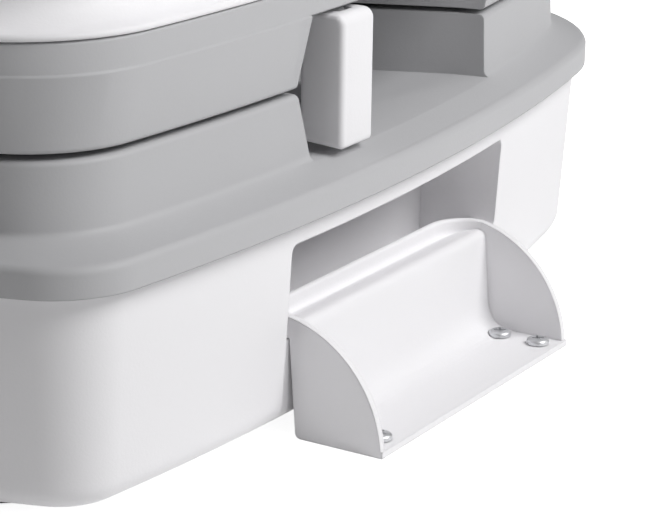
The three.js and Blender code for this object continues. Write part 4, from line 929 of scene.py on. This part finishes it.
def screw_solid():
    """A pan head with a cross recess, on a short shank, about its own axis."""
    seat, radius, height = 2.3, 3.5, 1.7
    dome = [(radius - 1.6 * (1 - math.cos(a)), seat + 0.6 + (height - 0.6) * math.sin(a))
            for a in quarter(6)]
    profile = [(0, 0.3), (2, 0.3), (2, seat), (radius, seat)] + dome + [(0, seat + height)]
    head = turned(profile, 0, 0, 40)
    cross = combine(block(-1.9, -0.4, seat + 1, 1.9, 0.4, 8),
                    ("UNION", block(-0.4, -1.9, seat + 1, 0.4, 1.9, 8)))
    return combine(head, ("DIFFERENCE", cross))


def group_input(tree, name, kind, default):
    socket = tree.interface.new_socket(name=name, in_out="INPUT", socket_type=kind)
    if default is not None:
        socket.default_value = default
    return socket.identifier


def scatter_tree(name, source, material):
    """A node group that sets a copy of a piece on each point, at a given size and turn."""
    tree = bpy.data.node_groups.new(name, "GeometryNodeTree")
    tree.interface.new_socket(name="Geometry", in_out="INPUT", socket_type="NodeSocketGeometry")
    turn = group_input(tree, "Turn", "NodeSocketFloat", 0.4)
    size = group_input(tree, "Size", "NodeSocketFloat", 1.0)
    tree.interface.new_socket(name="Geometry", in_out="OUTPUT", socket_type="NodeSocketGeometry")
    inputs = node(tree, "NodeGroupInput")
    piece = node(tree, "GeometryNodeObjectInfo", {"Object": source})
    index = node(tree, "GeometryNodeInputIndex")
    angle = node(tree, "ShaderNodeMath", {0: index.outputs[0], 1: inputs.outputs["Turn"]},
                 operation="MULTIPLY")
    turned_by = node(tree, "ShaderNodeCombineXYZ", {"Z": angle.outputs[0]})
    copies = node(tree, "GeometryNodeInstanceOnPoints", {
        "Points": inputs.outputs["Geometry"], "Instance": piece.outputs["Geometry"],
        "Rotation": turned_by.outputs[0], "Scale": inputs.outputs["Size"]})
    real = node(tree, "GeometryNodeRealizeInstances", {"Geometry": copies.outputs[0]})
    coated = node(tree, "GeometryNodeSetMaterial",
                  {"Geometry": real.outputs[0], "Material": material})
    node(tree, "NodeGroupOutput", {"Geometry": coated.outputs[0]})
    return tree, {"turn": turn, "size": size}


def points_object(name, points):
    mesh = bpy.data.meshes.new(name)
    mesh.from_pydata([Vector(p) * MILLIMETRE for p in points], [], [])
    thing = bpy.data.objects.new(name, mesh)
    bpy.context.scene.collection.objects.link(thing)
    return thing


def scatter(name, source, points, material, turn):
    thing = points_object(name, points)
    tree, sockets = scatter_tree(name + "_nodes", source, material)
    modifier = thing.modifiers.new("Scatter", "NODES")
    modifier.node_group = tree
    modifier[sockets["turn"]] = turn
    modifier[sockets["size"]] = 1.0
    settle(thing)
    bpy.data.objects.remove(source)
    bpy.data.node_groups.remove(tree)
    return thing


def latch_face(inset):
    """Side outline of a latch, with a rounder corner at the outer end of its top."""
    points = []
    for x, z, radius, turn in ((LATCH_OUTSIDE, LATCH_FOOT, 1.4, -0.5),
                               (LATCH_OUTSIDE, LATCH_TOP, 3.0, 0.0),
                               (LATCH_INSIDE, LATCH_TOP, 1.4, 0.5),
                               (LATCH_INSIDE, LATCH_FOOT, 1.4, 1.0)):
        radius = max(radius - inset, 0.2)
        reach = radius + inset
        centre = (x - reach if x > 150 else x + reach, z + reach if z < 100 else z - reach)
        points += arc(*centre, radius, turn * math.pi, (turn + 0.6) * math.pi, 6)
    return points


def make_latch():
    rear = LATCH_FRONT + LATCH_WIDTH
    middle = LATCH_FRONT + LATCH_WIDTH / 2
    x, z = LATCH_PIVOT
    slant = 0.8 / (LATCH_OUTSIDE - LATCH_INSIDE)
    rings = []
    for upward, base in ((False, LATCH_FRONT), (True, rear)):
        for y, inset in rounded_edge(base, 0, 1.7, upward, 8):
            rings.append([(px, y, pz + (slant * (LATCH_OUTSIDE - px) if pz < z else 0))
                          for px, pz in latch_face(inset)])
    paddle = loft(rings)
    toe = prism_y([(135, 86), (137, 84), (148, 84), (148, 88), (135, 88)], middle - 6, middle + 6)
    slot = prism_y([(144, z - 5), (x + 5, z - 5), (x + 5, z), (x + 2.3, 118.5), (144, 118.5)],
                   middle - 3.5, middle + 3.5)
    bore = prism_y(circle(x, z, PIN_BORE, 24), LATCH_FRONT + 1.7, rear + 2)
    return combine(paddle, ("UNION", toe), ("DIFFERENCE", slot), ("DIFFERENCE", bore))


# Console fittings

def make_filler_neck():
    low, flange = TOP - 14, TOP + FIT
    return turned([(21, low), (25, low), (25, flange), (31, flange), (31, flange + 1.5),
                   (30.5, flange + 2), (25, flange + 2), (25, flange + 7.4), (24.4, flange + 8),
                   (21, flange + 8), (21, low)], -FITTING_X, FITTING_Y)


def cup(inner, thick, height):
    outer = inner + thick
    return turned([(0, height - thick), (inner, height - thick), (inner, 0), (outer, 0)]
                  + round_corner(outer, height, 1.3, 6)
                  + [(outer - 5, height), (outer - 6, height - 0.6), (0, height - 0.6)], 0, 0)


def grip_ribs(count, radius, depth, width, height):
    """Upright grip ribs set round a cap's skirt."""
    source = prism_z([(radius - 0.8, -width / 2), (radius + depth * 0.6, -width / 2),
                      (radius + depth, -width / 4), (radius + depth, width / 4),
                      (radius + depth * 0.6, width / 2), (radius - 0.8, width / 2)], 0, height)
    turn = 2 * math.pi / count
    ribs = scatter("grip_ribs", source, [(0, 0, 0)] * count, MATERIALS["grey"], turn)
    return ribs


def placed(thing, matrix):
    thing.data.transform(matrix)
    return thing


def make_filler_cap():
    cap = combine(cup(25.6, 2.6, 11), ("UNION", grip_ribs(12, 28.2, 1.6, 5, 8.4)))
    return placed(cap, Matrix.Translation(Vector((-FITTING_X, FITTING_Y, TOP + 2.6)) * MILLIMETRE))


def make_pump_housing():
    low, flange = TOP - 60, TOP + FIT
    shell = turned([(0, low), (25.9, low), (25.9, flange), (29, flange), (29, flange + 1.4),
                    (28.4, flange + 2), (23.9, flange + 2), (23.5, flange + 1.6), (23.5, low + 2.4),
                    (0, low + 2.4)], FITTING_X, FITTING_Y)
    return combine(shell, ("DIFFERENCE", disc(FITTING_X, FITTING_Y, 4.2, low - 2, low + 4, 32)))


def make_pump_button():
    top = TOP + 7
    rim = round_corner(22.6, top, 2, 8)
    dish = [(18.5 * (1 - t),
             top - 2.4 * (1 - (1 - t) ** 2)) for t in [i / 10 for i in range(1, 11)]]
    return turned([(0, top - 22), (22.6, top - 22)] + rim + [(19.2, top - 0.15)] + dish,
                  FITTING_X, FITTING_Y)


def make_bellows():
    low, high = BELLOWS
    pitch = (high - low) / 5
    outside, inside = [], []
    for i in range(41):
        share = i / 40 * 5
        radius = 16 - 3 * math.cos(2 * math.pi * share)
        outside.append((radius, low + pitch * share))
        inside.append((radius - 1.6, low + pitch * share))
    lid = [(0, high), (0, high - 1.6), (11.4, high - 1.6)]
    body = [p for p in reversed(inside) if p[1] < high - 1.6]
    return turned(outside + lid + body + [outside[0]], FITTING_X, FITTING_Y, 40)


def make_handle():
    rear = -142.0
    low, high = 84.6, 97.3
    levels = rounded_edge(low, 0, 3, False, 6) + rounded_edge(high, 0, 3, True, 6)
    body = loft([level(rounded_rectangle(-46 + i, -188 + i, 46 - i, rear, 9 - i * 0.6), z)
                 for z, i in levels])
    edge = [(low - 2, 3.2), (low, 2.2), (low + 0.8, 0.8), (low + 2.2, 0.0), (high - 2.2, 0.0),
            (high - 0.8, 0.8), (high, 2.2), (high + 2, 3.2)]
    fingers = loft([level(rounded_rectangle(-32 - d, -178 - d, 32 + d, -155 + d, 7), z) for z,
                    d in edge])
    slit = block(-28.3, rear - 12.3, 89.5, 28.3, rear + 2, 92.7)
    return combine(body, ("DIFFERENCE", fingers), ("DIFFERENCE", slit))


# Pour-out spout and vent

def elbow(radius, low, end):
    x, y, z = SPOUT
    bend = 20.0
    stations = [(0.0, x, low)]
    for i in range(19):
        angle = i / 18 * math.pi / 2
        stations.append((angle, x + bend * (1 - math.cos(angle)),
                         z - bend + bend * math.sin(angle)))
    stations.append((math.pi / 2, end, z))
    return loft([[(sx - v * math.cos(a), y + u, sz + v * math.sin(a))
                  for u, v in circle(0, 0, radius, 48)] for a, sx, sz in stations])


def make_spout():
    low, end = DECK - 10, SPOUT[0] + 88
    return combine(elbow(18, low, end), ("UNION", disc(SPOUT[0], SPOUT[1], 21, 71.7, 73.7)),
                   ("DIFFERENCE", elbow(15.5, low - 2, end + 2)))


def make_spout_cap():
    cap = combine(cup(18.3, 2.2, 20), ("UNION", grip_ribs(8, 20.5, 0.8, 4, 17.8)))
    start = SPOUT[0] + 88 - 20 + 2.2 + 2 + 2 * FIT
    cap = placed(cap, Matrix.Rotation(math.pi / 2, 4, "Y"))
    return placed(cap, Matrix.Translation(Vector((start, SPOUT[1], SPOUT[2])) * MILLIMETRE))


def make_vent_housing():
    low = DECK + FIT
    return turned([(4.8, low), (11, low), (11, low + 6), (10.6, low + 7), (8.9, low + 7),
                   (8.5, low + 6.6), (8.5, low + 1), (4.8, low + 1), (4.8, low)], *VENT, 48)


def make_vent_button():
    cap, stem = DECK + 5.6, 68.7
    rim = round_corner(8, cap + 4, 1.2, 5)
    return turned([(0, stem), (4.2, stem), (4.2, cap), (8, cap)] + rim + [(0, cap + 4)], *VENT, 48)


# Operators

class BuildOperator:
    """What every building step shares."""

    bl_options = {"REGISTER", "UNDO"}

    @property
    def wall(self):
        return bpy.context.scene.toilet_sizes.wall / MILLIMETRE


class TOILET_OT_materials(BuildOperator, bpy.types.Operator):
    """Make the plastics, rubber and steel, and give them to the CAD nodes that stay"""

    bl_idname = "toilet.materials"
    bl_label = "Materials"

    def execute(self, context):
        prepare_materials(context.scene)
        kept = {
            "rubber": ["outlet_seal", "valve_seal", "spout_seal", "vent_seal"]
            + [f"seat_buffer_{i}" for i in (1, 2, 3, 4)] + [f"foot_{i}" for i in (1, 2, 3, 4)],
            "dark": ["hinge_pin", "valve_housing"],
            "seat": ["hinge_cap_right", "hinge_cap_left", "valve_blade", "flush_pipe",
                     "rim_nozzle"],
            "steel": ["latch_pin_right", "latch_pin_left"],
        }
        for surface, names in kept.items():
            for name in names:
                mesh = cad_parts[name].data
                mesh.materials.clear()
                mesh.materials.append(MATERIALS[surface])
        return {"FINISHED"}


class TOILET_OT_tank_lower(BuildOperator, bpy.types.Operator):
    """Build the white lower shell of the waste tank with its finger pockets"""

    bl_idname = "toilet.tank_lower"
    bl_label = "Waste tank, lower shell"

    def execute(self, context):
        finish(make_tank_lower(self.wall), "tank_lower_skin", "body", "white",
               "waste_tank_lower_shell")
        return {"FINISHED"}


class TOILET_OT_tank_upper(BuildOperator, bpy.types.Operator):
    """Build the grey upper shell of the waste tank with flange, deck and recesses"""

    bl_idname = "toilet.tank_upper"
    bl_label = "Waste tank, upper shell"

    def execute(self, context):
        finish(make_tank_upper(self.wall), "tank_upper_skin", "body", "grey",
               "waste_tank_upper_shell")
        return {"FINISHED"}


class TOILET_OT_flush_lower(BuildOperator, bpy.types.Operator):
    """Build the grey lower shell of the flush tank"""

    bl_idname = "toilet.flush_lower"
    bl_label = "Flush tank, lower shell"

    def execute(self, context):
        finish(make_flush_lower(self.wall), "flush_lower_skin", "body", "grey",
               "flush_tank_lower_shell")
        return {"FINISHED"}


class TOILET_OT_flush_upper(BuildOperator, bpy.types.Operator):
    """Build the white upper shell of the flush tank and its level window"""

    bl_idname = "toilet.flush_upper"
    bl_label = "Flush tank, upper shell"

    def execute(self, context):
        finish(make_flush_upper(), "flush_upper_skin", "body", "white", "flush_tank_upper_shell")
        finish(make_window(), "level_window_skin", "body", "clear", "level_window")
        return {"FINISHED"}


class TOILET_OT_bowl(BuildOperator, bpy.types.Operator):
    """Build the bowl with its rim and outlet"""

    bl_idname = "toilet.bowl"
    bl_label = "Bowl"

    def execute(self, context):
        finish(make_bowl(), "bowl_skin", "body", "seat", "bowl")
        return {"FINISHED"}


class TOILET_OT_seat(BuildOperator, bpy.types.Operator):
    """Build the seat with its hinge ears"""

    bl_idname = "toilet.seat"
    bl_label = "Seat"

    def execute(self, context):
        finish(make_seat(), "seat_skin", "seat_body", "seat", "seat")
        return {"FINISHED"}


class TOILET_OT_lid(BuildOperator, bpy.types.Operator):
    """Build the crowned lid"""

    bl_idname = "toilet.lid"
    bl_label = "Lid"

    def execute(self, context):
        finish(make_lid(), "lid_skin", "lid_body", "seat", "lid")
        return {"FINISHED"}


class TOILET_OT_brackets(BuildOperator, bpy.types.Operator):
    """Build the two hold-down brackets"""

    bl_idname = "toilet.brackets"
    bl_label = "Hold-down brackets"

    def execute(self, context):
        finish_pair(make_bracket(), "bracket", "body", "white")
        return {"FINISHED"}


class TOILET_OT_screws(BuildOperator, bpy.types.Operator):
    """Set the bracket screws"""

    bl_idname = "toilet.screws"
    bl_label = "Bracket screws"

    def execute(self, context):
        for side, sign in (("right", 1), ("left", -1)):
            places = [(sign * x, y, 0) for x, y in SCREW_PLACES]
            screws = scatter(f"screws_{side}", screw_solid(), places, MATERIALS["steel"], 0.7)
            finish(screws, f"screws_{side}", "body", "steel",
                   *(f"screw_{side}_{i}" for i in (1, 2, 3, 4)))
        return {"FINISHED"}


class TOILET_OT_latches(BuildOperator, bpy.types.Operator):
    """Build the two side latches"""

    bl_idname = "toilet.latches"
    bl_label = "Side latches"

    def execute(self, context):
        finish_pair(make_latch(), "latch", "latch_{}_body", "white")
        return {"FINISHED"}


class TOILET_OT_console(BuildOperator, bpy.types.Operator):
    """Build filler and pump on the rear console"""

    bl_idname = "toilet.console"
    bl_label = "Filler and pump"

    def execute(self, context):
        for make, cad, body, surface in (
            (make_filler_neck, "filler_neck", "body", "grey"),
            (make_filler_cap, "filler_cap", "filler_cap_body", "grey"),
            (make_pump_housing, "pump_housing", "body", "grey"),
            (make_pump_button, "pump_button", "pump_button_body", "grey"),
        ):
            finish(make(), cad + "_skin", body, surface, cad)
        bellows = finish(make_bellows(), "pump_bellows_skin", "body", "rubber", "pump_bellows")
        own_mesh(bellows)
        return {"FINISHED"}


class TOILET_OT_outlets(BuildOperator, bpy.types.Operator):
    """Build valve handle, pour-out spout, its cap and the vent"""

    bl_idname = "toilet.outlets"
    bl_label = "Valve handle, spout and vent"

    def execute(self, context):
        for make, cad, body, surface in (
            (make_handle, "valve_handle", "valve_body", "grey"),
            (make_spout, "pour_spout", "spout_body", "grey"),
            (make_spout_cap, "spout_cap", "spout_cap_body", "dark"),
            (make_vent_housing, "vent_housing", "body", "grey"),
            (make_vent_button, "vent_button", "vent_button_body", "dark"),
        ):
            finish(make(), cad + "_skin", body, surface, cad)
        return {"FINISHED"}


class TOILET_OT_studio(BuildOperator, bpy.types.Operator):
    """Set up floor, lamps and the camera at the photograph's viewing angle"""

    bl_idname = "toilet.studio"
    bl_label = "Studio"

    def execute(self, context):
        build_floor()
        build_lights(context.scene)
        build_camera(context.scene)
        return {"FINISHED"}


# Studio

def build_floor():
    floor = object_of("floor", [(-3000, -3000, -0.2), (3000, -3000, -0.2), (3000, 3000, -0.2),
                                (-3000, 3000, -0.2)], [(0, 1, 2, 3)])
    material, tree = new_material("matt_white_studio_floor")
    seen = node(tree, "ShaderNodeLightPath")
    paint = node(tree, "ShaderNodeBsdfDiffuse", {"Color": linear("#F4F4F4")})
    glow = node(tree, "ShaderNodeEmission", {"Color": linear("#FFFFFF"), "Strength": 0.88})
    both = node(tree, "ShaderNodeAddShader", {0: paint.outputs[0], 1: glow.outputs[0]})
    mirror = node(tree, "ShaderNodeMath", {0: seen.outputs["Is Camera Ray"],
                                           1: seen.outputs["Is Glossy Ray"]}, operation="MAXIMUM")
    through = node(tree, "ShaderNodeMath", {0: mirror.outputs[0],
                                            1: seen.outputs["Is Transmission Ray"]},
                                            operation="MAXIMUM")
    mixed = node(tree, "ShaderNodeMixShader", {0: through.outputs[0], 1: paint.outputs[0],
                                               2: both.outputs[0]})
    node(tree, "ShaderNodeOutputMaterial", {"Surface": mixed.outputs[0]})
    floor.data.materials.append(material)


def build_lights(scene):
    settings = scene.toilet_studio
    world = bpy.data.worlds.new("studio")
    world.use_nodes = True
    scene.world = world
    tree = world.node_tree
    tree.nodes.clear()
    seen = node(tree, "ShaderNodeLightPath")
    mirror = node(tree, "ShaderNodeMath", {0: seen.outputs["Is Camera Ray"],
                                           1: seen.outputs["Is Transmission Ray"]},
                                           operation="MAXIMUM")
    soft = node(tree, "ShaderNodeBackground", {"Color": linear("#FFFFFF"),
                                               "Strength": settings.ambient})
    white = node(tree, "ShaderNodeBackground", {"Color": linear("#FFFFFF"), "Strength": 1.0})
    mixed = node(tree, "ShaderNodeMixShader", {0: mirror.outputs[0], 1: soft.outputs[0],
                                               2: white.outputs[0]})
    node(tree, "ShaderNodeOutputWorld", {"Surface": mixed.outputs[0]})
    for name, (share, size, place) in LAMPS.items():
        lamp = bpy.data.lights.new(name, "AREA")
        lamp.energy = settings.key * share
        lamp.size = size
        holder = bpy.data.objects.new(name, lamp)
        holder.location = place
        aim = LAMP_AIM - Vector(place)
        holder.rotation_euler = aim.to_track_quat("-Z", "Y").to_euler()
        scene.collection.objects.link(holder)


def build_camera(scene):
    """The camera that was fitted to the photograph's edges."""
    yaw, pitch, roll = (math.radians(a) for a in CAMERA_TURN)
    forward = Vector((-math.sin(yaw) * math.cos(pitch), math.cos(yaw) * math.cos(pitch),
                      -math.sin(pitch)))
    right = Vector((math.cos(yaw), math.sin(yaw), 0))
    down = forward.cross(right)
    across = math.cos(roll) * right + math.sin(roll) * down
    below = -math.sin(roll) * right + math.cos(roll) * down
    camera = bpy.data.cameras.new("camera")
    camera.lens = scene.toilet_studio.lens
    camera.sensor_width = 36.0
    camera.clip_start = 0.01
    holder = bpy.data.objects.new("camera", camera)
    turn = Matrix((across, -below, -forward)).transposed().to_4x4()
    holder.matrix_world = Matrix.Translation(CAMERA_PLACE) @ turn
    scene.collection.objects.link(holder)
    scene.camera = holder
    scene.view_settings.view_transform = "Standard"


class TOILET_PT_panel(bpy.types.Panel):
    """Lists the building steps in the sidebar"""

    bl_label = "Portable Toilet"
    bl_idname = "TOILET_PT_panel"
    bl_space_type = "VIEW_3D"
    bl_region_type = "UI"
    bl_category = "Toilet"

    def draw(self, context):
        column = self.layout.column()
        for group in ("toilet_colours", "toilet_sizes", "toilet_studio"):
            settings = getattr(context.scene, group)
            for name in settings.__annotations__:
                column.prop(settings, name)
        for step in STEPS:
            column.operator(step.bl_idname)


STEPS = (
    TOILET_OT_materials, TOILET_OT_tank_lower, TOILET_OT_tank_upper, TOILET_OT_flush_lower,
    TOILET_OT_flush_upper, TOILET_OT_bowl, TOILET_OT_seat, TOILET_OT_lid, TOILET_OT_brackets,
    TOILET_OT_screws, TOILET_OT_latches, TOILET_OT_console, TOILET_OT_outlets, TOILET_OT_studio,
)
GROUPS = {"toilet_colours": PlasticColours, "toilet_sizes": ShellSizes,
          "toilet_studio": StudioSettings}


def register():
    for name, group in GROUPS.items():
        bpy.utils.register_class(group)
        setattr(bpy.types.Scene, name, bpy.props.PointerProperty(type=group))
    for step in (*STEPS, TOILET_PT_panel):
        bpy.utils.register_class(step)


def unregister():
    for step in (*reversed(STEPS), TOILET_PT_panel):
        bpy.utils.unregister_class(step)
    for name, group in GROUPS.items():
        delattr(bpy.types.Scene, name)
        bpy.utils.unregister_class(group)


def main():
    register()
    for step in STEPS:
        family, name = step.bl_idname.split(".")
        getattr(getattr(bpy.ops, family), name)()


if __name__ == "__main__":
    main()
